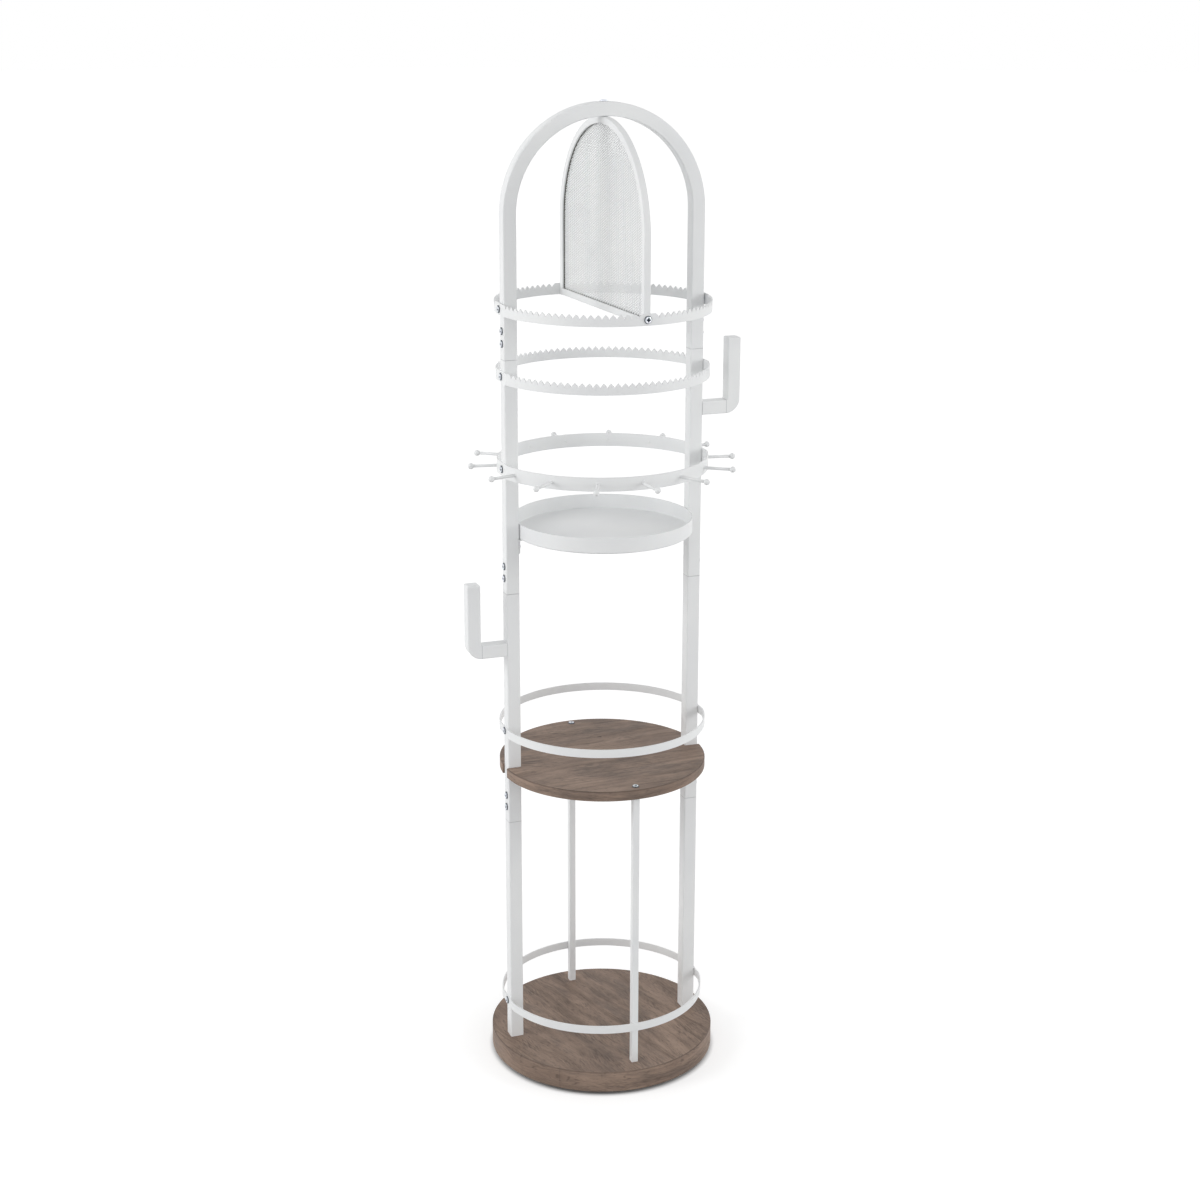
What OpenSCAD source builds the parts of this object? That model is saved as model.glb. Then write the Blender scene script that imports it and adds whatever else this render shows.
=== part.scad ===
// Rotating jewelry rack: two jointed square-tube posts and their arch stand on a round
// base that turns on a ball bearing. They carry serrated rings, a peg ring, guard rings,
// a tray, a shelf, two hooks and a mesh panel for earrings.
// Millimetres. Z is up, X runs from the left post to the right post, and the origin is
// on the floor under the middle of the base.

/* [Posts] */
// Width of the square post tube
post_w = 20; // [19:0.5:22]
// Wall of the post tube
post_wall = 1.2; // [1:0.1:1.6]
// Radius along the outer corners of the post tube
post_corner_r = 2; // [1:0.5:3]
// Distance between the outer faces of the two posts
post_span = 302; // [298:1:308]
// Length of the lower and middle post segments
segment_h = 354; // [330:1:400]
// Length of the upper post segments
upper_segment_h = 342; // [330:1:400]
// Straight leg of the top arch, from its joint up to the bend
arch_leg_h = 201; // [190:1:260]
// Gap that shows between two segments of a post
seam_gap = 0.3; // [0.2:0.1:0.6]
// Reach of a joint sleeve above its joint
sleeve_up = 52; // [48:1:60]
// Reach of a joint sleeve below its joint
sleeve_down = 35; // [28:1:45]
// Wall of a joint sleeve
sleeve_wall = 2; // [1.5:0.1:3]
// Height of the lower joint screw above its joint
joint_screw_low = 22; // [12:1:26]
// Height of the upper joint screw above its joint
joint_screw_high = 40; // [36:1:44]
// Height of the plug in the foot of a post
post_plug_h = 20; // [18:1:26]

/* [Base and turntable] */
// Diameter of the base disc
base_d = 340; // [330:2:400]
// Thickness of the base disc
base_t = 32; // [26:1:36]
// Thickness of the edge bands on the base and the shelf
edge_band_t = 1; // [0.6:0.1:2]
// Bevel along the edges of the bands
edge_bevel = 0.8; // [0.2:0.1:1.2]
// Thickness of the rubber feet
foot_t = 2; // [1.5:0.5:4]
// Diameter of the rubber feet
foot_d = 18; // [14:1:24]
// Radius of the circle that the feet stand on
foot_circle_r = 135; // [120:1:136]
// Number of rubber feet
foot_count = 6; // [4:1:8]
// Diameter of the ground plate
ground_plate_d = 300; // [296:2:320]
// Thickness of the ground plate
ground_plate_t = 2; // [1.5:0.5:3]
// Running gap between the ground plate and the base disc
running_gap = 1; // [0.8:0.1:2]
// Radius of the circle that the balls run on
ball_circle_r = 85; // [78:1:92]
// Diameter of a bearing ball
ball_d = 4; // [3.6:0.1:4.4]
// Number of bearing balls
ball_count = 24; // [16:1:30]
// Thickness of the race flanges
race_t = 1.2; // [1:0.1:1.4]
// Metal between a race flange and the bottom of the ball track
track_floor = 0.8; // [0.6:0.1:1.2]
// Thickness of the ball cage
cage_t = 0.8; // [0.6:0.1:1]

/* [Shelf and stay bars] */
// Height of the shelf's underside above the lowest joint
shelf_rise = 71.5; // [62:0.5:120]
// Thickness of the shelf disc
shelf_t = 15; // [12:1:20]
// Diameter of the shelf disc
shelf_d = 308; // [306:1:330]
// Clearance of the shelf's notches round the posts
notch_gap = 0.3; // [0.2:0.1:1]
// Width of the square stay bars
stay_w = 10; // [9:0.5:12]
// Wall of the stay bars
stay_wall = 1; // [0.8:0.1:1.2]
// Radius along the outer corners of the stay bars
stay_corner_r = 1; // [0.6:0.1:1.5]
// Distance from the middle of the rack to the outer face of a stay bar
stay_reach = 146; // [142:1:148]
// Height of the plugs in the ends of a stay bar
stay_plug_h = 15; // [12:1:20]

/* [Rings] */
// Thickness of the flat bands that the rings are bent from
band_t = 2; // [1.5:0.1:2.5]
// Half of the flat length where a ring lies on a post
flat_half = 24; // [20:1:28]
// Height of a serrated ring, to the tips of its teeth
serrated_h = 16.5; // [14:0.5:22]
// Depth of the teeth
tooth_depth = 5; // [3:0.5:6]
// Pitch of the teeth along the ring
tooth_pitch = 10; // [8:0.5:14]
// Flat left on the tip of each tooth
tooth_tip = 0.8; // [0.4:0.1:1.5]
// Gap between the posts and the upper serrated ring, filled by spacers
upper_ring_gap = 2; // [1:0.5:4]
// Height of the upper serrated ring above the top joint
upper_ring_rise = 63; // [54:1:80]
// Distance from the top joint down to the lower serrated ring
lower_ring_drop = 32.5; // [31:0.5:60]
// Front reach of the lower serrated ring
lower_ring_reach = 146; // [143:1:150]
// Height of the peg ring's band
peg_ring_h = 20; // [14:1:26]
// Distance from the top joint down to the peg ring's lower edge
peg_ring_drop = 168; // [160:1:190]
// Front reach of the peg ring
peg_ring_reach = 144; // [142:1:148]
// Number of pegs
peg_count = 14; // [10:2:18]
// Turn of the pegs round their ring, away from an even split about the posts
peg_turn = 3; // [0:0.5:3.5]
// Diameter of a peg
peg_d = 3; // [2.5:0.5:4]
// Diameter of the ball on a peg
peg_ball_d = 9; // [7:0.5:10]
// Distance from the middle of the rack to a peg's ball
peg_reach = 192; // [185:0.5:205]
// Height of the guard bands
guard_h = 12; // [8:1:20]
// Height of the shelf guard above the shelf
shelf_guard_rise = 50; // [30:1:80]
// Height of the base guard above the base
base_guard_rise = 52.5; // [30:0.5:80]

/* [Tray] */
// Height of the tray's underside above the middle joint
tray_rise = 80; // [76:1:110]
// Height of the tray's wall
tray_h = 23; // [14:1:26]
// Sheet thickness of the tray
tray_wall = 1.2; // [1:0.1:2]
// Radius between the tray's floor and its wall
tray_corner_r = 3; // [2:0.5:5]
// Clearance between the tray and the posts
tray_gap = 0.5; // [0.3:0.1:1]
// Width of a tray bracket
bracket_w = 16; // [14:1:18]
// Length of each leg of a tray bracket
bracket_leg = 21; // [19:1:23]
// Thickness of a tray bracket
bracket_t = 2; // [1.5:0.1:3]

/* [Hooks] */
// Distance from a post to the outer face of its hook
hook_reach = 59; // [50:1:80]
// Height of a hook, with its end cap
hook_h = 112; // [90:1:130]
// Inner radius of the hook's bend
hook_bend_r = 1.5; // [1:0.5:15]
// Height of the end cap's head
hook_cap_h = 8; // [6:0.5:10]
// Radius along the top edges of the end cap
hook_cap_r = 3; // [1:0.5:4]
// Length of the end cap's plug inside the tube
hook_plug_h = 12; // [8:1:20]
// Distance from the middle joint down to the left hook
left_hook_drop = 94; // [80:1:120]
// Distance from the top joint down to the right hook
right_hook_drop = 99; // [95:1:125]

/* [Earring panel] */
// Width of the panel's square tube
panel_w = 10; // [9:0.5:12]
// Wall of the panel's tube
panel_wall = 1; // [0.8:0.1:1.5]
// Radius along the outer corners of the panel's tube
panel_corner_r = 1; // [0.6:0.1:1.5]
// Turn of the panel about the upright axis
panel_turn = 3; // [0:0.5:6]
// Thickness of the mesh
mesh_t = 1.2; // [0.8:0.1:2]
// Pitch of the mesh's diamonds
mesh_pitch = 16; // [15.5:0.5:20]
// Width of the mesh's strands
mesh_strand_w = 1.4; // [1:0.1:2.5]
// Width of the plain rim round the mesh
mesh_rim_w = 2; // [1.5:0.5:4]

/* [Fasteners] */
// Diameter of the round-head screws
screw_d = 4.8; // [4:0.1:5.5]
// Diameter of their heads
screw_head_d = 9.5; // [8:0.5:10.5]
// Height of their heads
screw_head_h = 3; // [2:0.1:3.5]
// Diameter of the small screws in the stay bars and the tray
small_screw_d = 4; // [3:0.1:4.5]
// Diameter of the heads of the small screws
small_head_d = 8.5; // [7:0.5:9]
// Height of the heads of the small screws
small_head_h = 2.6; // [1.8:0.1:3]
// Diameter of the bolts in the feet of the posts
bolt_d = 6; // [5:0.5:7]
// Diameter of the heads of the bolts under the base
bolt_head_d = 11; // [10:0.5:12]
// Height of the heads of the bolts under the base
bolt_head_h = 4; // [3:0.5:5]

/* [Hidden] */
$fn = 96;

paint = [0.91, 0.92, 0.91];
wood = [0.49, 0.41, 0.35];
steel = [0.72, 0.74, 0.77];
rubber = [0.1, 0.1, 0.1];
nylon = [0.85, 0.85, 0.82];

// Clearances, and how far a cut runs past the faces that it goes through
hole_gap = 0.1;
slide_gap = 0.15;
seat_gap = 0.2;
ball_gap = 0.05;
cage_gap = 0.2;
over = 1;

// Radius along a tube's inner corners, for its outer corners and its wall
function bore_corner_r(corner_r, wall) = max(0.3, corner_r - wall);

// Heights
plate_top = foot_t + ground_plate_t;
base_z = plate_top + running_gap;
base_top = base_z + base_t;
joints_z = [for (h = [segment_h, 2 * segment_h, 2 * segment_h + upper_segment_h]) base_top + h];
arch_z = joints_z[2] + arch_leg_h;
shelf_z = joints_z[0] + shelf_rise;
shelf_top = shelf_z + shelf_t;
base_guard_z = base_top + base_guard_rise;
shelf_guard_z = shelf_top + shelf_guard_rise;
tray_z = joints_z[1] + tray_rise;
peg_ring_z = joints_z[2] - peg_ring_drop;
lower_ring_z = joints_z[2] - lower_ring_drop;
upper_ring_z = joints_z[2] + upper_ring_rise;

// Posts: outer face, inner face, middle line, and what fits inside the tube
post_out = post_span / 2;
post_in = post_out - post_w;
post_mid = post_out - post_w / 2;
post_bore_r = bore_corner_r(post_corner_r, post_wall);
sleeve_w = post_w - 2 * post_wall - 2 * slide_gap;
arch_under = arch_z + post_in;
arch_top = arch_z + post_out;

// Bearing, from the top of the ground plate to the roof of the pocket in the base
race_stack = ball_d + 2 * (race_t + track_floor);
ball_z = plate_top + race_stack / 2;
pocket_roof = plate_top + race_stack;
track_half = 4;
cage_half = 5;
race_in_r = ball_circle_r - 13;
race_out_r = ball_circle_r + 12.5;
race_screw_r = ball_circle_r - 9;
skirt_out_r = ball_circle_r + 7.5;
lip_t = 1;
lip_gap = 0.8;
pocket_r = race_out_r + 6;
race_fixings = 4;
rivet_r = 2;
rivet_head_r = 3.5;
rivet_head_h = 0.8;
race_screw_d = 3.5;
race_screw_head_d = 6;
race_screw_head_h = 1.2;
race_screw_len = 14;
access_hole_r = 4.5;

// Bolts that come up through the base into the posts and the stay bars
counterbore_h = 7;
counterbore_gap = 1;
bolt_grip = 14;
stay_bolt_grip = 12;

// Stay bars
stay_mid = stay_reach - stay_w / 2;
stay_bore_r = bore_corner_r(stay_corner_r, stay_wall);
stay_plug_w = stay_w - 2 * stay_wall - 2 * slide_gap;

// Rings
serrated_mid = serrated_h / 2;
upper_ring_in_r = post_out + upper_ring_gap;
upper_ring_r = upper_ring_in_r + band_t;
guard_reach = stay_reach + seat_gap + band_t;
ring_flat_x = post_out + band_t;
upper_plain_half = 22;
lower_plain_half = flat_half + 2;
panel_plain_half = 8;
spacer_d = 12;
peg_tail = 1;

// Round-head screws: what each reaches through, and how far it goes on
screw_grip = 4;
post_screw_len = post_wall + slide_gap + sleeve_wall + screw_grip;
panel_screw_len = band_t + seat_gap + panel_wall + screw_grip;
top_screw_len = post_w + seat_gap + panel_wall + screw_grip;
band_screws_z = [
    base_guard_z + guard_h / 2, shelf_guard_z + guard_h / 2,
    peg_ring_z + peg_ring_h / 2, lower_ring_z + serrated_mid
];
upper_ring_screw_z = upper_ring_z + serrated_mid;
joint_screws_z = [for (z = joints_z, s = [joint_screw_low, joint_screw_high]) z + s];
outer_holes_z = concat(band_screws_z, joint_screws_z, [upper_ring_screw_z]);
bracket_screw_z = tray_z - (bracket_leg + bracket_t) / 2;
tray_screw_x = post_in - (bracket_leg + bracket_t) / 2;

// Earring panel: outer half width, lower edge and middle of its arch
panel_half = upper_ring_in_r - seat_gap;
panel_mid = panel_half - panel_w / 2;
panel_z = upper_ring_z;
panel_bore_r = bore_corner_r(panel_corner_r, panel_wall);
panel_arc_z = arch_under - seat_gap - panel_half;
mesh_half = panel_half - panel_w - hole_gap;
mesh_z = panel_z + panel_w + hole_gap;

// A square with rounded corners about the origin
module rounded_square(w, r) {
    square([w, w - 2 * r], center = true);
    square([w - 2 * r, w], center = true);
    for (x = [-1, 1], y = [-1, 1])
        translate([x * (w / 2 - r), y * (w / 2 - r)]) circle(r = r, $fn = 32);
}

// A square tube that stands on z = 0 round the Z axis
module square_tube(w, wall, h, corner_r) {
    linear_extrude(h) difference() {
        rounded_square(w, corner_r);
        rounded_square(w - 2 * wall, bore_corner_r(corner_r, wall));
    }
}

// A square plug that stands on z = 0, with a round bore up its middle
module bored_plug(w, h, bore_d, corner_r) {
    difference() {
        linear_extrude(h) rounded_square(w, corner_r);
        translate([0, 0, -over]) cylinder(d = bore_d, h = h + 2 * over);
    }
}

// A round-head screw: its head stands on z = 0 and its shank goes down
module round_screw(d, head_d, head_h, length) {
    rim_h = head_h * 0.2;
    dome_h = head_h - rim_h;
    dome_r = (head_d * head_d / 4 + dome_h * dome_h) / (2 * dome_h);
    difference() {
        rotate_extrude() {
            intersection() {
                translate([0, head_h - dome_r]) circle(r = dome_r);
                square([head_d / 2, head_h]);
            }
            translate([0, -length]) square([d / 2, length + rim_h]);
        }
        translate([0, 0, head_h * 0.45]) cylinder(d = head_d * 0.38, h = head_h, $fn = 6);
    }
}

// A bolt with a straight head: its head stands on z = 0 and its shank goes down
module straight_bolt(d, head_d, head_h, length) {
    difference() {
        union() {
            cylinder(d = head_d, h = head_h);
            translate([0, 0, -length]) cylinder(d = d, h = length + head_h / 2);
        }
        translate([0, 0, head_h / 2]) cylinder(d = head_d / 2, h = head_h, $fn = 6);
    }
}

// A flat ring between two radii and two heights
module flat_ring(r_in, r_out, z_low, z_high) {
    rotate_extrude() translate([r_in, z_low]) square([r_out - r_in, z_high - z_low]);
}

// An edge band: a thin ring with its two outer edges bevelled
module edge_band(r_out, z_low, z_high) {
    r_in = r_out - edge_band_t;
    bevel = min(edge_bevel, edge_band_t * 0.8);
    rotate_extrude() polygon([
        [r_in, z_low], [r_out - bevel, z_low], [r_out, z_low + bevel],
        [r_out, z_high - bevel], [r_out - bevel, z_high], [r_in, z_high]
    ]);
}

// Its children, repeated evenly round the Z axis
module around(count, start = 0) {
    for (i = [0:count - 1]) rotate(start + i * 360 / count) children();
}

// Its children, with their Z axis turned to point away from a post on the given side
module facing_out(side, x, z) {
    translate([side * x, 0, z]) rotate([0, side * 90, 0]) children();
}

// The screw holes in the outer face of a post, at each height that meets a span
module outer_face_holes(side, z_low, z_high) {
    for (z = outer_holes_z)
        if (z > z_low - screw_d && z < z_high + screw_d)
            facing_out(side, post_mid, z) cylinder(d = screw_d + 2 * hole_gap, h = post_w);
}

// The screws of a post's outer face: a head on the face x, at each of the heights
module outer_face_screws(side, x, heights, length) {
    for (z = heights)
        facing_out(side, x, z) round_screw(screw_d, screw_head_d, screw_head_h, length);
}

module rubber_feet() {
    color(rubber) around(foot_count)
        translate([foot_circle_r, 0, 0]) cylinder(d = foot_d, h = foot_t);
}

module ground_plate() {
    color(steel) difference() {
        translate([0, 0, foot_t]) cylinder(d = ground_plate_d, h = ground_plate_t);
        around(race_fixings) translate([race_screw_r, 0, 0])
            cylinder(r = rivet_r + hole_gap, h = plate_top + over);
        rotate(180 / race_fixings) translate([race_screw_r, 0, 0])
            cylinder(r = access_hole_r, h = plate_top + over);
    }
}

// The groove that the balls run in, as a cut in a race
module ball_track() {
    rotate_extrude() translate([ball_circle_r, ball_z]) circle(r = ball_d / 2 + ball_gap);
}

module turntable_lower_race() {
    track_top = ball_z - cage_t / 2 - cage_gap;
    lip_z = ball_z + cage_t / 2 + hole_gap;
    color(steel) difference() {
        union() {
            flat_ring(race_in_r, race_out_r, plate_top, plate_top + race_t);
            flat_ring(ball_circle_r - track_half, ball_circle_r + track_half, plate_top, track_top);
            flat_ring(race_out_r - race_t, race_out_r, plate_top, lip_z + lip_t);
            flat_ring(skirt_out_r + lip_gap, race_out_r, lip_z, lip_z + lip_t);
        }
        ball_track();
        around(race_fixings) translate([race_screw_r, 0, 0])
            cylinder(r = rivet_r + hole_gap, h = ball_z);
        rotate(180 / race_fixings) translate([race_screw_r, 0, 0])
            cylinder(r = access_hole_r, h = ball_z);
    }
}

module lower_race_rivets() {
    head_z = plate_top + race_t;
    color(steel) around(race_fixings) translate([race_screw_r, 0, 0]) {
        translate([0, 0, foot_t - rivet_head_h]) cylinder(r = rivet_head_r, h = rivet_head_h);
        translate([0, 0, foot_t - rivet_head_h / 2])
            cylinder(r = rivet_r, h = head_z - foot_t + rivet_head_h);
        translate([0, 0, head_z]) cylinder(r = rivet_head_r, h = rivet_head_h);
    }
}

module ball_cage() {
    color(nylon) difference() {
        flat_ring(ball_circle_r - cage_half, ball_circle_r + cage_half,
                  ball_z - cage_t / 2, ball_z + cage_t / 2);
        around(ball_count) translate([ball_circle_r, 0, plate_top])
            cylinder(r = ball_d / 2 + hole_gap, h = race_stack);
    }
}

module bearing_balls() {
    color(steel) around(ball_count)
        translate([ball_circle_r, 0, ball_z]) sphere(d = ball_d, $fn = 24);
}

module turntable_upper_race() {
    track_z = ball_z + cage_t / 2 + cage_gap;
    lip_top = ball_z - cage_gap;
    color(steel) difference() {
        union() {
            flat_ring(race_in_r, skirt_out_r, pocket_roof - race_t, pocket_roof);
            flat_ring(ball_circle_r - track_half, ball_circle_r + track_half, track_z, pocket_roof);
            flat_ring(skirt_out_r - race_t, skirt_out_r, lip_top - lip_t, pocket_roof);
            flat_ring(skirt_out_r - race_t, race_out_r - race_t - lip_gap, lip_top - lip_t, lip_top);
        }
        ball_track();
        around(race_fixings) translate([race_screw_r, 0, ball_z])
            cylinder(d = race_screw_d + 2 * hole_gap, h = race_stack);
    }
}

module upper_race_screws() {
    color(steel) around(race_fixings)
        translate([race_screw_r, 0, pocket_roof - race_t]) mirror([0, 0, 1])
            round_screw(race_screw_d, race_screw_head_d, race_screw_head_h, race_screw_len);
}

// A bolt hole up through the base, with room for the bolt's head below
module base_bolt_hole(d, head_d) {
    cylinder(d = d + 2 * hole_gap, h = base_top + over);
    cylinder(d = head_d + 2 * counterbore_gap, h = base_z + counterbore_h);
}

module base_disc() {
    color(wood) difference() {
        translate([0, 0, base_z]) cylinder(r = base_d / 2 - edge_band_t, h = base_t);
        translate([0, 0, base_z - over]) cylinder(r = pocket_r, h = pocket_roof - base_z + over);
        around(race_fixings) translate([race_screw_r, 0, 0])
            cylinder(d = race_screw_d + 2 * hole_gap, h = pocket_roof + race_screw_len);
        for (side = [-1, 1]) {
            translate([side * post_mid, 0, 0]) base_bolt_hole(bolt_d, bolt_head_d);
            translate([0, side * stay_mid, 0]) base_bolt_hole(small_screw_d, small_head_d);
        }
    }
}

module base_edge_band() {
    color(wood) edge_band(base_d / 2, base_z, base_top);
}

module base_bolts() {
    seat_z = base_z + counterbore_h;
    through = base_top - seat_z;
    color(steel) for (side = [-1, 1]) {
        translate([side * post_mid, 0, seat_z]) mirror([0, 0, 1])
            straight_bolt(bolt_d, bolt_head_d, bolt_head_h, through + bolt_grip);
        translate([0, side * stay_mid, seat_z]) mirror([0, 0, 1])
            straight_bolt(small_screw_d, small_head_d, bolt_head_h, through + stay_bolt_grip);
    }
}

module post_plugs() {
    color(steel) for (side = [-1, 1]) translate([side * post_mid, 0, base_top])
        bored_plug(sleeve_w, post_plug_h, bolt_d + 2 * hole_gap, post_bore_r);
}

// One segment of a post, from one height to the seam under the next joint
module post_segment(side, z_low, z_high) {
    color(paint) difference() {
        translate([side * post_mid, 0, z_low])
            square_tube(post_w, post_wall, z_high - z_low - seam_gap, post_corner_r);
        outer_face_holes(side, z_low, z_high);
        if (bracket_screw_z > z_low && bracket_screw_z < z_high)
            facing_out(-side, -post_mid, bracket_screw_z)
                cylinder(d = small_screw_d + 2 * hole_gap, h = post_w);
    }
}

module post_left_lower() {
    post_segment(-1, base_top, joints_z[0]);
}

module post_left_middle() {
    post_segment(-1, joints_z[0], joints_z[1]);
}

module post_left_upper() {
    post_segment(-1, joints_z[1], joints_z[2]);
}

module post_right_lower() {
    post_segment(1, base_top, joints_z[0]);
}

module post_right_middle() {
    post_segment(1, joints_z[0], joints_z[1]);
}

module post_right_upper() {
    post_segment(1, joints_z[1], joints_z[2]);
}

// A solid arch of a square bar, by the half width between the middles of its legs
module arch_body(half, w, corner_r, leg_low, arc_z) {
    for (side = [-1, 1])
        translate([side * half, 0, leg_low]) linear_extrude(arc_z - leg_low) rounded_square(w, corner_r);
    translate([0, 0, arc_z]) rotate([90, 0, 0]) rotate_extrude(angle = 180)
        translate([half, 0]) rounded_square(w, corner_r);
}

module top_arch() {
    color(paint) difference() {
        arch_body(post_mid, post_w, post_corner_r, joints_z[2], arch_z);
        arch_body(post_mid, post_w - 2 * post_wall, post_bore_r, joints_z[2] - over, arch_z);
        for (side = [-1, 1]) outer_face_holes(side, joints_z[2], arch_z);
        translate([0, 0, arch_under - over])
            cylinder(d = screw_d + 2 * hole_gap, h = post_w + 2 * over);
    }
}

// A sleeve inside a post, across one of its joints
module joint_sleeve(side, joint) {
    z_low = joint - sleeve_down;
    z_high = joint + sleeve_up;
    color(steel) difference() {
        translate([side * post_mid, 0, z_low])
            square_tube(sleeve_w, sleeve_wall, z_high - z_low, post_bore_r);
        outer_face_holes(side, z_low, z_high);
    }
}

module joint_sleeve_left_lower() {
    joint_sleeve(-1, joints_z[0]);
}

module joint_sleeve_left_middle() {
    joint_sleeve(-1, joints_z[1]);
}

module joint_sleeve_left_upper() {
    joint_sleeve(-1, joints_z[2]);
}

module joint_sleeve_right_lower() {
    joint_sleeve(1, joints_z[0]);
}

module joint_sleeve_right_middle() {
    joint_sleeve(1, joints_z[1]);
}

module joint_sleeve_right_upper() {
    joint_sleeve(1, joints_z[2]);
}

module joint_screws_left() {
    color(steel) outer_face_screws(-1, post_out, joint_screws_z, post_screw_len);
}

module joint_screws_right() {
    color(steel) outer_face_screws(1, post_out, joint_screws_z, post_screw_len);
}

module stay_bar(side) {
    color(paint) translate([0, side * stay_mid, base_top])
        square_tube(stay_w, stay_wall, shelf_z - base_top, stay_corner_r);
}

module stay_bar_front() {
    stay_bar(-1);
}

module stay_bar_back() {
    stay_bar(1);
}

module stay_plugs() {
    color(steel) for (side = [-1, 1], z = [base_top, shelf_z - stay_plug_h])
        translate([0, side * stay_mid, z])
            bored_plug(stay_plug_w, stay_plug_h, small_screw_d + 2 * hole_gap, stay_bore_r);
}

// The notches that let the posts through the shelf
module shelf_notches() {
    notch_w = post_w + 2 * notch_gap;
    for (side = [-1, 1])
        translate([side * (post_in - notch_gap + shelf_d / 2), 0, shelf_z + shelf_t / 2])
            cube([shelf_d, notch_w, shelf_t + 2 * over], center = true);
}

module shelf_disc() {
    color(wood) difference() {
        translate([0, 0, shelf_z]) cylinder(r = shelf_d / 2 - edge_band_t, h = shelf_t);
        shelf_notches();
        for (side = [-1, 1]) translate([0, side * stay_mid, shelf_z - over])
            cylinder(d = small_screw_d + 2 * hole_gap, h = shelf_t + 2 * over);
    }
}

module shelf_edge_band() {
    color(wood) difference() {
        edge_band(shelf_d / 2, shelf_z, shelf_top);
        shelf_notches();
    }
}

module shelf_screws() {
    color(steel) for (side = [-1, 1]) translate([0, side * stay_mid, shelf_top])
        round_screw(small_screw_d, small_head_d, small_head_h, shelf_t + stay_bolt_grip);
}

// A ring that lies flat on both posts and bulges to a front and back reach is two arcs
// that end on the flats. This is how far each arc's centre lies behind the middle.
function arc_shift(reach) =
    (ring_flat_x * ring_flat_x + flat_half * flat_half - reach * reach) / (2 * (reach - flat_half));

// Distance from the middle to the outer face of such a ring in a direction off the flats
function ring_edge(reach, angle) =
    let (shift = arc_shift(reach), aside = shift * cos(angle))
    sqrt(pow(reach + shift, 2) - aside * aside) - shift * abs(sin(angle));

// Outline of such a ring. The inset draws the inside of the band.
module ring_outline(reach, inset) {
    shift = arc_shift(reach);
    intersection() {
        translate([0, -shift]) circle(r = reach + shift - inset, $fn = 180);
        translate([0, shift]) circle(r = reach + shift - inset, $fn = 180);
        square([2 * (ring_flat_x - inset), 3 * reach], center = true);
    }
}

// Such a ring as a band, with its two screw holes
module flat_sided_ring(reach, z, h, screw_z) {
    difference() {
        translate([0, 0, z]) linear_extrude(h) difference() {
            ring_outline(reach, 0);
            ring_outline(reach, band_t);
        }
        for (side = [-1, 1]) facing_out(side, post_mid, screw_z)
            cylinder(d = screw_d + 2 * hole_gap, h = post_w);
    }
}

module base_guard_ring() {
    color(paint) flat_sided_ring(guard_reach, base_guard_z, guard_h, band_screws_z[0]);
}

module shelf_guard_ring() {
    color(paint) flat_sided_ring(guard_reach, shelf_guard_z, guard_h, band_screws_z[1]);
}

module peg_ring() {
    color(paint) difference() {
        flat_sided_ring(peg_ring_reach, peg_ring_z, peg_ring_h, band_screws_z[2]);
        around(peg_count, 180 / peg_count + peg_turn)
            translate([post_in, 0, band_screws_z[2]]) rotate([0, 90, 0])
                cylinder(d = peg_d + 2 * hole_gap, h = 2 * post_w);
    }
}

module jewelry_pegs() {
    color(paint) for (i = [0:peg_count - 1])
        let (angle = (i + 0.5) * 360 / peg_count + peg_turn,
             tail_r = ring_edge(peg_ring_reach, angle) - band_t - peg_tail)
            rotate(angle) translate([tail_r, 0, band_screws_z[2]]) rotate([0, 90, 0]) {
                cylinder(d = peg_d, h = peg_reach - tail_r);
                translate([0, 0, peg_reach - tail_r]) sphere(d = peg_ball_d, $fn = 48);
            }
}

// A V notch between two teeth, cut across the band at the given angle round the ring
module tooth_notch(angle, z_top) {
    half_w = (tooth_pitch - tooth_tip) / 2;
    spread = half_w * (tooth_depth + over) / tooth_depth;
    rotate(angle) translate([post_in, 0, z_top]) rotate([90, 0, 90])
        linear_extrude(2 * post_w)
            polygon([[0, -tooth_depth], [spread, over], [-spread, over]]);
}

// How far a direction is from the front-to-back line turned by an angle, at a radius
function off_line(angle, turn, r) = abs(r * sin(angle - 90 - turn));

module serrated_ring_lower() {
    count = 4 * floor(PI * post_span / tooth_pitch / 4);
    color(paint) difference() {
        flat_sided_ring(lower_ring_reach, lower_ring_z, serrated_h, band_screws_z[3]);
        for (i = [0:count - 1])
            let (angle = (i + 0.5) * 360 / count)
                if (abs(post_out * sin(angle)) > lower_plain_half + tooth_pitch / 2)
                    tooth_notch(angle, lower_ring_z + serrated_h);
    }
}

module serrated_ring_upper() {
    count = 4 * round(2 * PI * upper_ring_r / tooth_pitch / 4);
    color(paint) difference() {
        flat_ring(upper_ring_in_r, upper_ring_r, upper_ring_z, upper_ring_z + serrated_h);
        for (i = [0:count - 1])
            let (angle = (i + 0.5) * 360 / count)
                if (abs(upper_ring_r * sin(angle)) > upper_plain_half
                    && off_line(angle, panel_turn, upper_ring_r) > panel_plain_half)
                    tooth_notch(angle, upper_ring_z + serrated_h);
        for (side = [-1, 1]) facing_out(side, post_mid, upper_ring_screw_z)
            cylinder(d = screw_d + 2 * hole_gap, h = 2 * post_w);
        rotate(panel_turn) for (side = [-1, 1]) rotate(90) facing_out(side, post_mid, upper_ring_screw_z)
            cylinder(d = screw_d + 2 * hole_gap, h = 2 * post_w);
    }
}

module ring_spacers() {
    color(steel) for (side = [-1, 1]) facing_out(side, post_out, upper_ring_screw_z) difference() {
        cylinder(d = spacer_d, h = upper_ring_gap - slide_gap);
        translate([0, 0, -over])
            cylinder(d = screw_d + 2 * hole_gap, h = upper_ring_gap + 2 * over);
    }
}

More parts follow.
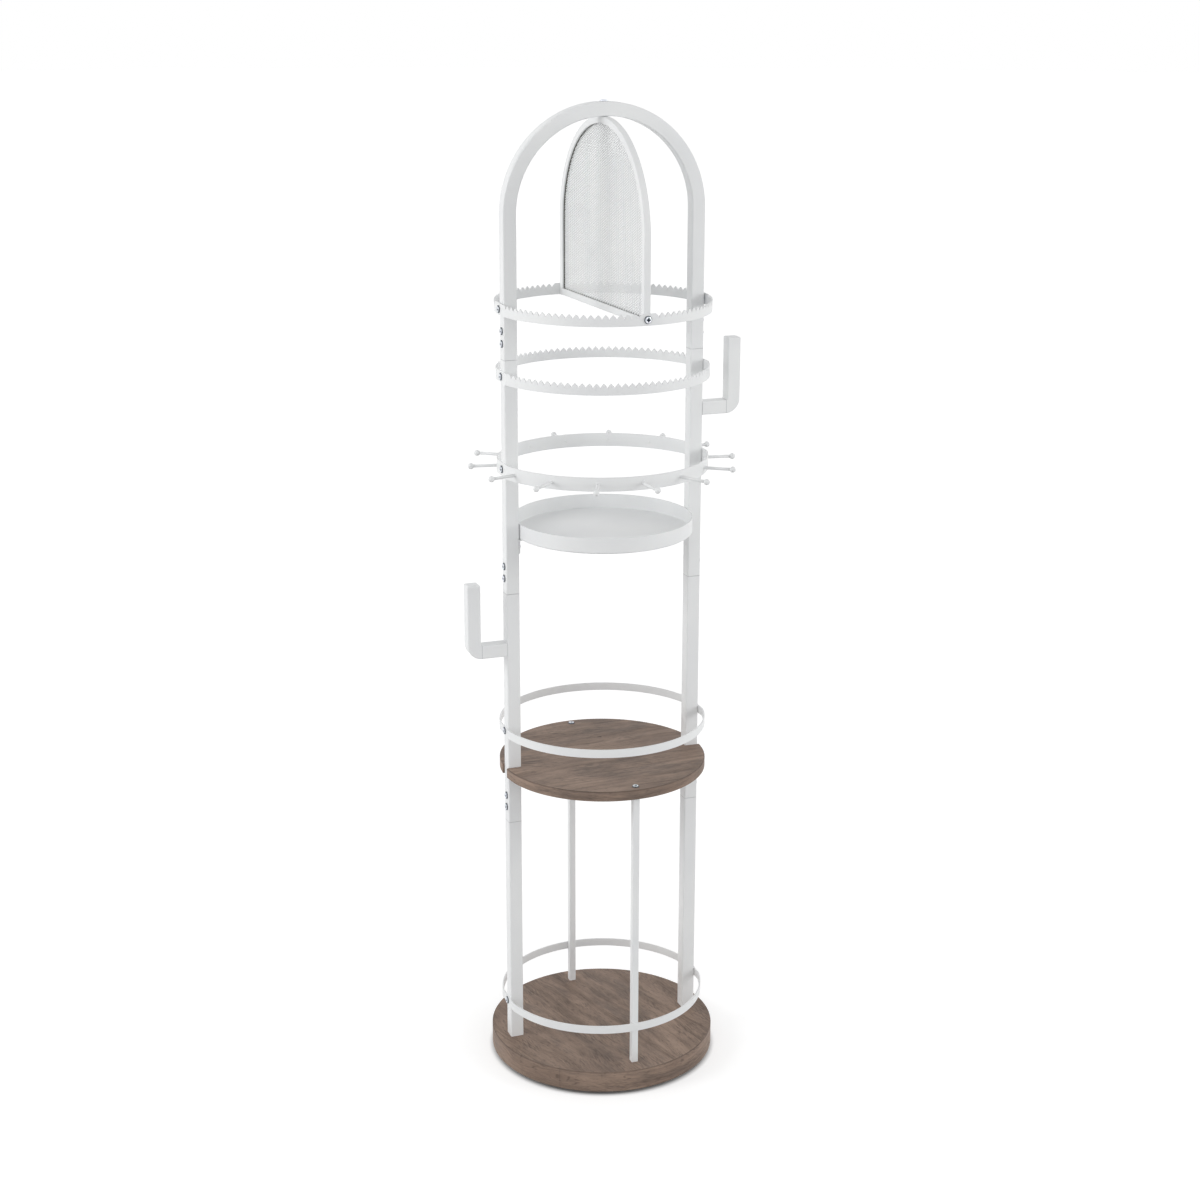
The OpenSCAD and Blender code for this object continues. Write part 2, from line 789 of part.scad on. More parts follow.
// All the ring screws of one side
module ring_screws(side) {
    color(steel) {
        outer_face_screws(side, ring_flat_x, band_screws_z, post_screw_len + band_t);
        outer_face_screws(side, upper_ring_r, [upper_ring_screw_z],
                          post_screw_len + band_t + upper_ring_gap);
    }
}

module ring_screws_left() {
    ring_screws(-1);
}

module ring_screws_right() {
    ring_screws(1);
}

// Outline of the tray turned about the Z axis, or of its inside when inset is its sheet
module tray_profile(r, inset) {
    corner = tray_corner_r - inset;
    translate([0, tray_z + inset]) square([r - inset - corner, tray_h]);
    translate([0, tray_z + inset + corner]) square([r - inset, tray_h - corner]);
    translate([r - inset - corner, tray_z + inset + corner]) circle(r = corner);
}

module tray() {
    tray_r = post_in - tray_gap;
    color(paint) difference() {
        rotate_extrude() intersection() {
            difference() {
                tray_profile(tray_r, 0);
                tray_profile(tray_r, tray_wall);
            }
            translate([0, tray_z]) square([tray_r, tray_h]);
        }
        for (side = [-1, 1]) translate([side * tray_screw_x, 0, tray_z - over])
            cylinder(d = small_screw_d + 2 * hole_gap, h = tray_wall + 2 * over);
    }
}

// An angle bracket between a post and the tray's floor
module tray_bracket(side) {
    mid_x = side * (post_in - bracket_leg / 2);
    color(paint) difference() {
        union() {
            translate([mid_x, 0, tray_z - bracket_t / 2])
                cube([bracket_leg, bracket_w, bracket_t], center = true);
            translate([side * (post_in - bracket_t / 2), 0, tray_z - bracket_leg / 2])
                cube([bracket_t, bracket_w, bracket_leg], center = true);
        }
        translate([side * tray_screw_x, 0, tray_z - bracket_leg])
            cylinder(d = small_screw_d + 2 * hole_gap, h = bracket_leg + over);
        facing_out(side, post_in - bracket_leg, bracket_screw_z)
            cylinder(d = small_screw_d + 2 * hole_gap, h = bracket_leg + over);
    }
}

module tray_bracket_left() {
    tray_bracket(-1);
}

module tray_bracket_right() {
    tray_bracket(1);
}

// Screws up into the tray, and screws from the brackets into the posts
module tray_screws() {
    color(steel) for (side = [-1, 1]) {
        translate([side * tray_screw_x, 0, tray_z - bracket_t]) mirror([0, 0, 1])
            round_screw(small_screw_d, small_head_d, small_head_h, bracket_t + tray_wall);
        facing_out(-side, bracket_t - post_in, bracket_screw_z)
            round_screw(small_screw_d, small_head_d, small_head_h,
                        bracket_t + post_wall + screw_grip);
    }
}

// A solid hook of a square bar from the post outward, run on past both of its ends
module hook_body(w, corner_r, run) {
    bend_x = hook_reach - post_w - hook_bend_r;
    bend_z = post_w + hook_bend_r;
    translate([-run, 0, post_w / 2]) rotate([0, 90, 0])
        linear_extrude(bend_x + run) rounded_square(w, corner_r);
    translate([bend_x, 0, bend_z]) rotate([90, 0, 0]) rotate(-90)
        rotate_extrude(angle = 90) translate([bend_z - post_w / 2, 0]) rounded_square(w, corner_r);
    translate([hook_reach - post_w / 2, 0, bend_z])
        linear_extrude(hook_h - hook_cap_h - bend_z + run) rounded_square(w, corner_r);
}

module hook(side, z) {
    color(paint) translate([side * post_out, 0, z]) mirror([side < 0 ? 1 : 0, 0, 0]) difference() {
        hook_body(post_w, post_corner_r, 0);
        hook_body(post_w - 2 * post_wall, post_bore_r, over);
    }
}

module hook_left() {
    hook(-1, joints_z[1] - left_hook_drop);
}

module hook_right() {
    hook(1, joints_z[2] - right_hook_drop);
}

// Side view of an end cap: a square head with its two top corners rounded
module cap_profile() {
    r = hook_cap_r;
    translate([-post_w / 2, 0]) square([post_w, hook_cap_h - r]);
    translate([r - post_w / 2, 0]) square([post_w - 2 * r, hook_cap_h]);
    for (side = [-1, 1]) translate([side * (post_w / 2 - r), hook_cap_h - r]) circle(r = r);
}

module hook_cap(side, z) {
    x = side * (post_out + hook_reach - post_w / 2);
    color(paint) translate([x, 0, z + hook_h - hook_cap_h]) {
        intersection() {
            translate([0, post_w / 2, 0]) rotate([90, 0, 0]) linear_extrude(post_w) cap_profile();
            translate([-post_w / 2, 0, 0]) rotate([90, 0, 90]) linear_extrude(post_w) cap_profile();
            linear_extrude(hook_cap_h) rounded_square(post_w, post_corner_r);
        }
        translate([0, 0, -hook_plug_h])
            linear_extrude(hook_plug_h + hook_cap_h / 2) rounded_square(sleeve_w, post_bore_r);
    }
}

module hook_cap_left() {
    hook_cap(-1, joints_z[1] - left_hook_drop);
}

module hook_cap_right() {
    hook_cap(1, joints_z[2] - right_hook_drop);
}

// Its children, modelled in the X-Z plane, in the place of the earring panel
module in_panel_place() {
    rotate(90 + panel_turn) children();
}

module panel_frame() {
    color(paint) in_panel_place() difference() {
        arch_body(panel_mid, panel_w, panel_corner_r, panel_z, panel_arc_z);
        arch_body(panel_mid, panel_w - 2 * panel_wall, panel_bore_r, panel_z + panel_wall, panel_arc_z);
        for (side = [-1, 1]) facing_out(side, panel_mid, upper_ring_screw_z)
            cylinder(d = screw_d + 2 * hole_gap, h = panel_w);
        translate([0, 0, arch_under - panel_w / 2])
            cylinder(d = screw_d + 2 * hole_gap, h = panel_w);
    }
}

module panel_bottom_bar() {
    length = 2 * (panel_half - panel_w);
    color(paint) in_panel_place() translate([-length / 2, 0, panel_z + panel_w / 2])
        rotate([0, 90, 0]) square_tube(panel_w, panel_wall, length, panel_corner_r);
}

// Outline of the mesh, drawn in by an inset
module mesh_outline(inset) {
    half = mesh_half - inset;
    low = mesh_z + inset;
    translate([-half, low]) square([2 * half, panel_arc_z - low]);
    intersection() {
        translate([0, panel_arc_z]) circle(r = half, $fn = 180);
        translate([-half, panel_arc_z]) square([2 * half, half]);
    }
}

// Whether the middle of a gap in the mesh lies inside its rim
function in_mesh(x, z) =
    let (half = mesh_half - mesh_rim_w)
    abs(x) < half && z > mesh_z + mesh_rim_w && (z < panel_arc_z || norm([x, z - panel_arc_z]) < half);

module panel_mesh() {
    step_x = mesh_pitch * sqrt(2);
    step_z = mesh_pitch / sqrt(2);
    rows = ceil((panel_arc_z + mesh_half - mesh_z) / step_z);
    columns = ceil(mesh_half / step_x);
    color(paint) in_panel_place() rotate([90, 0, 0]) translate([0, 0, -mesh_t / 2])
        linear_extrude(mesh_t) difference() {
            mesh_outline(0);
            intersection() {
                mesh_outline(mesh_rim_w);
                for (row = [0:rows], column = [-columns:columns])
                    let (x = (column + (row % 2) / 2) * step_x, z = mesh_z + row * step_z)
                        if (in_mesh(x, z)) translate([x, z]) rotate(45)
                            square(mesh_pitch - mesh_strand_w, center = true);
            }
        }
}

module panel_screws() {
    color(steel) in_panel_place()
        for (side = [-1, 1]) facing_out(side, upper_ring_r, upper_ring_screw_z)
            round_screw(screw_d, screw_head_d, screw_head_h, panel_screw_len);
}

module panel_top_screw() {
    color(steel) translate([0, 0, arch_top])
        round_screw(screw_d, screw_head_d, screw_head_h, top_screw_len);
}

rubber_feet();
ground_plate();
turntable_lower_race();
lower_race_rivets();
ball_cage();
bearing_balls();
turntable_upper_race();
upper_race_screws();
base_disc();
base_edge_band();
base_bolts();
post_plugs();
post_left_lower();
post_left_middle();
post_left_upper();
post_right_lower();
post_right_middle();
post_right_upper();
top_arch();
joint_sleeve_left_lower();
joint_sleeve_left_middle();
joint_sleeve_left_upper();
joint_sleeve_right_lower();
joint_sleeve_right_middle();
joint_sleeve_right_upper();
joint_screws_left();
joint_screws_right();
stay_bar_front();
stay_bar_back();
stay_plugs();
shelf_disc();
shelf_edge_band();
shelf_screws();
base_guard_ring();
shelf_guard_ring();
peg_ring();
jewelry_pegs();
serrated_ring_lower();
serrated_ring_upper();
ring_spacers();
ring_screws_left();
ring_screws_right();
tray();
tray_bracket_left();
tray_bracket_right();
tray_screws();
hook_left();
hook_right();
hook_cap_left();
hook_cap_right();
panel_frame();
panel_bottom_bar();
panel_mesh();
panel_screws();
panel_top_screw();
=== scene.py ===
"""Rotating jewelry rack: white powder-coated tube on a round wood-grain base."""
import math

import bmesh
import bpy
from bpy.props import FloatProperty, FloatVectorProperty, PointerProperty
from bpy.types import Operator, Panel, PropertyGroup
from mathutils import Matrix, Vector


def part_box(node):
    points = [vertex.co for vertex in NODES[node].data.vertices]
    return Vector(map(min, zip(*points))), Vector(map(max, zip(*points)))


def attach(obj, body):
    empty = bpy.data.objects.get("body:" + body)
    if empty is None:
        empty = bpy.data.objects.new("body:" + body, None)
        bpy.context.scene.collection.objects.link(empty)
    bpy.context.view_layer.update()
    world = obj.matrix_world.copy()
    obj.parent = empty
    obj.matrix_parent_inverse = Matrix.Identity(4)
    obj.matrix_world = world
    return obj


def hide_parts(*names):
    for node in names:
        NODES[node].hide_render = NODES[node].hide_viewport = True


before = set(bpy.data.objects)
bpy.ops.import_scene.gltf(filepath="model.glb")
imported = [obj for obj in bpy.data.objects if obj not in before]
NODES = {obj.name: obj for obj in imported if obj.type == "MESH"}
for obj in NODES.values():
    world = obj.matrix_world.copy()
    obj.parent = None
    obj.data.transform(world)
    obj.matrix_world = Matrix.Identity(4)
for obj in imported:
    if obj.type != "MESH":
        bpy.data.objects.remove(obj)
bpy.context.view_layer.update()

bl_info = {
    "name": "Rotating jewelry rack",
    "version": (1, 0, 0),
    "blender": (4, 5, 0),
    "location": "View3D > Sidebar > Jewelry rack",
    "description": "Finishes and fittings of a rotating jewelry rack, piece by piece",
    "category": "Object",
}

POSTS = [f"post_{side}_{part}"
         for side in ("left", "right") for part in ("lower", "middle", "upper")]
SLEEVES = [n.replace("post", "joint_sleeve") for n in POSTS]
RINGS = ["base_guard_ring", "shelf_guard_ring", "peg_ring", "serrated_ring_lower",
         "serrated_ring_upper"]

# Lengths and places, in metres
WELD = 0.000002  # corners nearer than this are one
# Painted shade: the hook coat darkens in a thin line at each of these places.
HOOK_BEND_LINE = 0.1887  # where a hook's bend begins, out from the middle line
SMALL_HOLE = 0.005  # a wall with a shorter outline belongs to a screw hole
BAR_END = 0.002  # corners this near the far end of the panel's bar belong to that end
PEG_SEAT = 0.003  # from a peg's inner end to the outer face of its ring
SHORTER = 0.0006  # how much sooner a peg and a tray screw end than in the CAD
BRACKET_OUT = 0.125  # tray screws further out than this hold the brackets to the posts
KNOT_PLACE = (0.0214, 0.0693)
KNOT_OVAL = (1.0, 1.5, 0.0)  # how much each part of the way from its middle counts
BAND_SEAM = 0.0004  # half the width of the seam in an edge band
BAND_LIP = (0.0022, 0.0006)  # an edge band darkens between these depths below its top
FLOOR_RADIUS = 30.0
FLOOR_FADE = (0.7, 2.2)  # the floor brightens between these distances from the rack
KEY_PLACE = (-2.65, 0.20, 1.85)
FILL_PLACE = (2.30, -1.60, 1.60)
LAMP_AIM = (0.0, 0.0, 0.7)

# Angles between faces, in degrees, past which an edge is sharp
SHARP = 28
RING_SHARP = 8
TURNED_SHARP = 35

# Shares and colours
HEAD_BITE = 0.2  # how much of a screw's head its shank runs into
SPARE = 1.1  # how much more than its outline the woven grid covers at first
WHITE = (1.0, 1.0, 1.0, 1.0)


def tone(name, text, default):
    """A colour that the user may change."""
    return FloatVectorProperty(name=name, description=text, default=default, subtype="COLOR",
                               size=3, min=0.0, max=1.0)


def size(name, text, default):
    """A length in metres that the user may change."""
    return FloatProperty(name=name, description=text, default=default, min=0.0,
                         subtype="DISTANCE", unit="LENGTH", precision=4)


def share(name, text, default):
    """A plain number from nothing to one."""
    return FloatProperty(name=name, description=text, default=default, min=0.0, max=1.0)


def amount(name, text, default, unit="NONE"):
    """A number from nothing up."""
    return FloatProperty(name=name, description=text, default=default, min=0.0, unit=unit)


def angle(name, text, degrees):
    """An angle that the user may change, given here in degrees."""
    return FloatProperty(name=name, description=text, default=math.radians(degrees),
                         subtype="ANGLE", unit="ROTATION")


class PowderCoat(PropertyGroup):
    colour: tone("Coat", "Colour of the baked powder coat", (0.83, 0.84, 0.84))
    shade: tone("Thin coat", "Colour where the coat lies a little thinner", (0.79, 0.80, 0.81))
    # The seam colour and width paint shade: a dark line at each joint of the posts, for the shade
    # in the hairline joint there, and at the start of each hook's bend.
    seam: tone("Seam", "Colour in the joints of the posts", (0.60, 0.61, 0.62))
    roughness: share("Roughness", "Roughness of the satin coat", 0.38)
    peel: size("Orange peel", "Width of the fine bumps that the powder leaves", 0.0012)
    seam_width: size("Seam width", "Height of the dark line at a joint", 0.0010)


class WoodLaminate(PropertyGroup):
    light: tone("Light grain", "Lightest wood between the growth lines", (0.330, 0.236, 0.180))
    middle: tone("Middle grain", "Common colour of the laminate", (0.190, 0.132, 0.101))
    dark: tone("Dark grain", "Darkest growth lines and the knot", (0.056, 0.041, 0.033))
    smoke: tone("Smoky patches", "Grey-brown patches in the print", (0.106, 0.081, 0.069))
    roughness: share("Roughness", "Roughness of the matt print", 0.62)
    line_pitch: size("Line pitch", "Distance between the growth lines", 0.009)
    knot: size("Knot", "Length of the knot on the shelf", 0.011)
    base_turn: angle("Grain of the base", "Turn of the grain from straight back", 15)
    shelf_turn: angle("Grain of the shelf", "Turn of the grain from straight back", -87)
    base_seam: angle("Seam of the base", "Where the ends of its edge band meet", -131.5)
    shelf_seam: angle("Seam of the shelf", "Where the ends of its edge band meet", 90)


class Metalwork(PropertyGroup):
    zinc: tone("Zinc", "Plated steel of the turntable and the sleeves", (0.58, 0.60, 0.62))
    screw: tone("Screws", "Bright plated steel of the screws", (0.78, 0.81, 0.85))
    # Painted shade: this dark colour is laid in each screw's cross recess and round the edge of its
    # head.
    recess: tone("Recess", "Shaded recess and edge of a screw's head", (0.035, 0.045, 0.06))
    rubber: tone("Feet", "Rubber of the feet", (0.028, 0.028, 0.030))
    nylon: tone("Cage", "Nylon of the ball cage", (0.74, 0.73, 0.68))
    recess_width: share("Recess width", "Width of the cross recess, as a share of the head", 0.24)
    recess_reach: share("Recess reach", "Reach of the cross recess, as a share of the head", 0.33)
    head: FloatProperty(name="Head width", default=1.18, min=0.5, max=1.5,
                        description="Width of a head against the plain head of the frame")


class WireMesh(PropertyGroup):
    wide: size("Opening width", "Width of a diamond of the mesh", 0.008)
    tall: size("Opening height", "Height of a diamond of the mesh", 0.0036)
    wire: size("Wire", "Diameter of a wire", 0.00175)
    crown: size("Crown", "How far a wire rises where it crosses another", 0.0005)
    bite: size("Bite", "How far the wires run into the tube of the panel", 0.0014)
    # Painted shade: a dark strip on the inside of the panel's tube and bar where the mesh meets
    # them. No groove is cut in the geometry.
    groove: size("Groove", "Width of the dark groove that the mesh sits in", 0.0054)
    groove_shade_colour: tone("Groove colour", "Colour of that groove", (0.12, 0.12, 0.11))


class PegShape(PropertyGroup):
    ball: size("Ball", "Diameter of the ball at the end of a peg", 0.009)
    stem: size("Stem", "Diameter of a peg", 0.0046)
    collar: size("Collar", "Diameter of the small weld at the root of a peg", 0.0062)


class RingTeeth(PropertyGroup):
    depth: size("Depth", "Depth of the teeth as the CAD has them", 0.005)
    deeper: size("Deeper", "How much deeper the notches between the teeth are cut here", 0.0015)


class StudioLight(PropertyGroup):
    room: amount("Room", "Strength of the even light from the sides", 1.6)
    ceiling: amount("Ceiling", "Strength of the light from straight above", 0.48)
    key: amount("Key", "Power of the broad lamp on the left", 22.0, "POWER")
    fill: amount("Fill", "Power of the broad lamp in front on the right", 15.0, "POWER")
    width: size("Lamp width", "Width of both lamps", 1.2)
    floor: tone("Floor", "Colour of the floor", (0.62, 0.62, 0.62))
    lift: share("Lift", "How far the floor is raised to the white of the backdrop", 0.55)
    far_lift: share("Far lift", "How much more the floor far from the rack is raised", 0.12)


class PhotoCamera(PropertyGroup):
    turn: angle("Turn", "How far left of the front the camera stands", 20.058)
    distance: size("Distance", "Distance from the middle line of the rack", 3.0097)
    height: size("Height", "Height of the camera above the floor", 1.6318)
    pan: angle("Pan", "Turn of the view past the middle line", -0.073)
    tilt: angle("Tilt", "How far the view looks down", 15.961)
    roll: angle("Roll", "Turn of the view about its own line", 0.107)
    lens: FloatProperty(name="Lens", default=64.011, min=1.0, unit="CAMERA",
                        description="Focal length for a sensor 36 mm wide")
    shift: FloatProperty(name="Shift", description="Upright shift of the lens", default=-0.0283)


def four(colour):
    """A colour with its alpha."""
    return (*colour, 1.0)


class Tree:
    """Short calls for building a tree of nodes."""

    def __init__(self, tree):
        self.tree = tree

    def add(self, kind, *inputs, **settings):
        """Adds a node. An input is a value or a socket, or None to leave it as it is."""
        made = self.tree.nodes.new(kind)
        named = {k[3:].replace("_", " "): v for k, v in settings.items() if k.startswith("in_")}
        for key, value in settings.items():
            if not key.startswith("in_"):
                setattr(made, key, value)
        for key, value in [*enumerate(inputs), *named.items()]:
            if value is not None:
                self.join(value, made.inputs[key])
        return made

    def join(self, value, socket):
        """Links a socket, or sets a plain value."""
        if isinstance(value, bpy.types.NodeSocket):
            self.tree.links.new(value, socket)
        else:
            socket.default_value = value

    def math(self, operation, *inputs):
        """One step of arithmetic."""
        return self.add("ShaderNodeMath", *inputs, operation=operation).outputs[0]

    def blend(self, factor, one, other, mode="MIX"):
        """A mix of two colours."""
        made = self.add("ShaderNodeMix", data_type="RGBA", blend_type=mode)
        for value, index in ((factor, 0), (one, 6), (other, 7)):
            self.join(value, made.inputs[index])
        return made.outputs[2]

    def noise(self, vector, scale, detail=2.0, rough=0.5, bend=0.0):
        """Smooth noise along a vector."""
        made = self.add("ShaderNodeTexNoise", in_Vector=vector, in_Scale=scale, in_Detail=detail,
                        in_Roughness=rough, in_Distortion=bend)
        return made.outputs["Fac"]

    def ramp(self, value, low, high):
        """A value spread from 0 at low to 1 at high."""
        made = self.add("ShaderNodeMapRange", value, low, high, 0.0, 1.0)
        made.clamp = True
        return made.outputs[0]

    def spread(self, value, low, high, first, last):
        """A value spread from first at low to last at high."""
        return self.add("ShaderNodeMapRange", value, low, high, first, last).outputs[0]

    def stain(self, colour, pattern, strength, ink):
        """A colour with an ink laid over it where a pattern says."""
        return self.blend(self.math("MULTIPLY", pattern, strength), colour, four(ink))

    def vector(self, x, y, z):
        """A vector of three parts."""
        return self.add("ShaderNodeCombineXYZ", x, y, z).outputs[0]

    def parts(self, vector):
        """The three parts of a vector."""
        return self.add("ShaderNodeSeparateXYZ", vector).outputs

    def turned(self, vector, turn):
        """A vector turned about Z."""
        made = self.add("ShaderNodeVectorRotate", vector, in_Angle=turn, rotation_type="Z_AXIS")
        return made.outputs[0]


def new_finish(name):
    """An empty material: its tree, its surface shader and its object coordinates."""
    finish = bpy.data.materials.new(name)
    finish.use_nodes = True
    tree = Tree(finish.node_tree)
    surface = finish.node_tree.nodes["Principled BSDF"]
    place = tree.add("ShaderNodeTexCoord").outputs["Object"]
    return finish, tree, surface, place


def emboss(tree, surface, height, strength, depth):
    """Raises the surface by a height pattern."""
    made = tree.add("ShaderNodeBump", strength, depth, in_Height=height)
    tree.join(made.outputs[0], surface.inputs["Normal"])


def beyond(tree, across, height, arch):
    """How far a place is from the upright line below the middle of the panel's arch."""
    over = tree.math("MAXIMUM", tree.math("SUBTRACT", height, arch), 0.0)
    squares = tree.math("MULTIPLY_ADD", across, across, tree.math("MULTIPLY", over, over))
    return tree.math("SQRT", squares)


def groove_shade_mask(tree, place):
    """1 on the strip of the panel's tube and bar where the mesh sits, which takes painted shade."""
    turn, half, foot, arch, tube = panel_lay()
    across, off, height = tree.parts(tree.turned(place, -turn))
    away = beyond(tree, across, height, arch)
    inside = tree.math("MULTIPLY", tree.math("LESS_THAN", away, half + tube / 2),
                       tree.math("GREATER_THAN", height, foot - tube / 2))
    near = tree.math("COMPARE", off, 0.0, bpy.context.scene.rack_mesh.groove / 2)
    return tree.math("MULTIPLY", near, inside)


def powder_coat(name, shade_lines=(), side="Z", groove_shaded=False):
    """Satin white powder coat: fine orange peel, faint clouds, painted shade lines at places on an
    axis, and, where asked, painted shade on the strip where the mesh meets the panel's tube.
    """
    look = bpy.context.scene.rack_coat
    finish, tree, surface, place = new_finish(name)
    clouds = tree.ramp(tree.noise(place, 9.0, 3.0, 0.55), 0.35, 0.7)
    colour = tree.blend(clouds, four(look.colour), four(look.shade))
    # Painted shade: a dark line at each given place, at the post joints and at the hook bends.
    if shade_lines:
        spot = tree.parts(place)[side]
        lines = None
        for seam in shade_lines:
            line = tree.math("COMPARE", spot, seam, look.seam_width / 2)
            lines = line if lines is None else tree.math("MAXIMUM", lines, line)
        colour = tree.blend(lines, colour, four(look.seam))
    # Painted shade: the dark strip where the mesh meets the panel's tube and bar.
    if groove_shaded:
        groove_shade_colour = bpy.context.scene.rack_mesh.groove_shade_colour
        colour = tree.blend(groove_shade_mask(tree, place), colour, four(groove_shade_colour))
    tree.join(colour, surface.inputs["Base Color"])
    peel = tree.noise(place, 1.0 / look.peel, 2.0, 0.6)
    tree.join(tree.spread(peel, 0.2, 0.8, look.roughness - 0.04, look.roughness + 0.06),
              surface.inputs["Roughness"])
    emboss(tree, surface, peel, 0.10, 0.0002)
    return finish


def wood_grain(name, turn, rim=0.0, knot=None, rim_top=0.0):
    """Grey-brown oak print: its grain is turned from Y, or runs round a rim of some radius.

    On a rim the turn is the place of the seam, and the top of the rim darkens.
    """
    look = bpy.context.scene.rack_wood
    finish, tree, surface, place = new_finish(name)
    across, along, deep = tree.parts(tree.turned(place, math.pi - turn if rim else -turn))
    if rim:
        turned = tree.math("ABSOLUTE", tree.math("ARCTAN2", along, across))
        seam = tree.math("GREATER_THAN", turned, math.pi - BAND_SEAM / rim)
        across, deep = deep, across

    def drawn_out(sideways, long, wide, lift=0.0):
        """Coordinates drawn out along the grain, so many shapes to a metre each way."""
        return tree.vector(tree.math("MULTIPLY", along, long),
                           tree.math("MULTIPLY", sideways, wide * 1.8 if rim else wide),
                           tree.math("MULTIPLY_ADD", deep, long if rim else wide * 0.2, lift))

    def pattern(sideways, long, wide, detail, low, high, rough=0.66, lift=0.0, bend=0.0):
        """Drawn-out noise of some detail, from 0 at its low level to 1 at its high level."""
        shapes = tree.noise(drawn_out(sideways, long, wide, lift), 1.0, detail, rough, bend)
        return tree.ramp(shapes, low, high)

    drift = tree.math("SUBTRACT", tree.noise(drawn_out(across, 4.5, 13.0), 1.0, 2.0, 0.5), 0.5)
    bent = tree.math("MULTIPLY_ADD", drift, 0.05, across)
    skewed = tree.math("MULTIPLY_ADD", along, -0.22, across)
    patches = pattern(across, 6.0, 15.0, detail=5.0, low=0.42, high=0.60, lift=3.1)
    smoke = pattern(across, 7.0, 20.0, detail=5.0, low=0.50, high=0.64, lift=7.7)
    lines = pattern(bent, 4.5, 1.0 / look.line_pitch, detail=4.0, low=0.44, high=0.74, bend=0.4)
    fibres = pattern(bent, 34.0, 520.0, detail=3.0, low=0.32, high=0.70, rough=0.65)
    pores = pattern(bent, 110.0, 900.0, detail=1.0, low=0.58, high=0.70, rough=0.5)
    strokes = pattern(skewed, 70.0, 420.0, detail=1.0, low=0.48, high=0.66, rough=0.5)
    sawn = pattern(across, 13.0, 24.0, detail=2.0, low=0.48, high=0.60, rough=0.6, lift=1.9)
    colour = tree.blend(patches, four(look.middle), four(look.light))
    colour = tree.stain(colour, smoke, 0.75, look.smoke)
    colour = tree.stain(colour, lines, 0.60, look.dark)
    colour = tree.stain(colour, fibres, 0.42, look.light)
    colour = tree.stain(colour, pores, 0.45, look.dark)
    colour = tree.stain(colour, tree.math("MULTIPLY", strokes, sawn), 0.46, look.dark)
    if rim:
        colour = tree.stain(colour, seam, 0.4, look.dark)
        lip = tree.ramp(across, *(rim_top - depth for depth in BAND_LIP))
        colour = tree.stain(colour, lip, 0.5, look.dark)
    if knot is not None:
        away = tree.add("ShaderNodeVectorMath", place, (*knot, 0.0), operation="SUBTRACT")
        oval = tree.add("ShaderNodeVectorMath", away.outputs[0], KNOT_OVAL, operation="MULTIPLY")
        far = tree.add("ShaderNodeVectorMath", oval.outputs[0], operation="LENGTH")
        frayed = tree.noise(place, 300.0, 3.0, 0.6)
        ragged = tree.math("MULTIPLY_ADD", frayed, look.knot, far.outputs["Value"])
        colour = tree.stain(colour, tree.ramp(ragged, look.knot, look.knot * 0.7), 0.85, look.dark)
    tree.join(colour, surface.inputs["Base Color"])
    tree.join(tree.spread(lines, 0.0, 1.0, look.roughness - 0.06, look.roughness + 0.08),
              surface.inputs["Roughness"])
    surface.inputs["Specular IOR Level"].default_value = 0.35
    ridges = tree.math("MULTIPLY", fibres, 0.5)
    relief = tree.math("SUBTRACT", ridges, tree.math("ADD", pores, lines))
    emboss(tree, surface, relief, 0.25, 0.00015)
    return finish


def plated(name, colour, roughness, recess=None):
    """Plated steel with faint spangle and fine scratches. A recess attribute lays painted shade in
    a screw's cross recess and round the edge of its head.
    """
    finish, tree, surface, place = new_finish(name)
    spangle = tree.add("ShaderNodeTexVoronoi", in_Vector=place, in_Scale=180.0).outputs["Color"]
    base = tree.blend(0.10, four(colour), spangle, "OVERLAY")
    # Painted shade in the recess and round the head's edge, where the attribute says.
    if recess is not None:
        depth = tree.add("ShaderNodeAttribute", attribute_name="recess").outputs["Fac"]
        base = tree.blend(depth, base, four(recess))
    tree.join(base, surface.inputs["Base Color"])
    surface.inputs["Metallic"].default_value = 1.0
    worn = tree.noise(place, 420.0, 3.0, 0.6)
    tree.join(tree.spread(worn, 0.3, 0.7, roughness - 0.05, roughness + 0.10),
              surface.inputs["Roughness"])
    emboss(tree, surface, worn, 0.08, 0.0001)
    return finish


def moulded(name, colour, roughness, grain):
    """Moulded rubber or nylon with a fine grain."""
    finish, tree, surface, place = new_finish(name)
    speck = tree.noise(place, grain, 2.0, 0.6)
    darker = tuple(c * 0.8 for c in colour)
    mottled = tree.blend(tree.ramp(speck, 0.35, 0.65), four(colour), four(darker))
    tree.join(mottled, surface.inputs["Base Color"])
    surface.inputs["Roughness"].default_value = roughness
    emboss(tree, surface, speck, 0.2, 0.0002)
    return finish


def edge_grain(name, seam, band, axis):
    """The wood print of an edge band whose radius is its reach along an axis."""
    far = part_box(band)[1]
    return wood_grain(name, seam, far[axis], rim_top=far.z)


FINISHES = {}


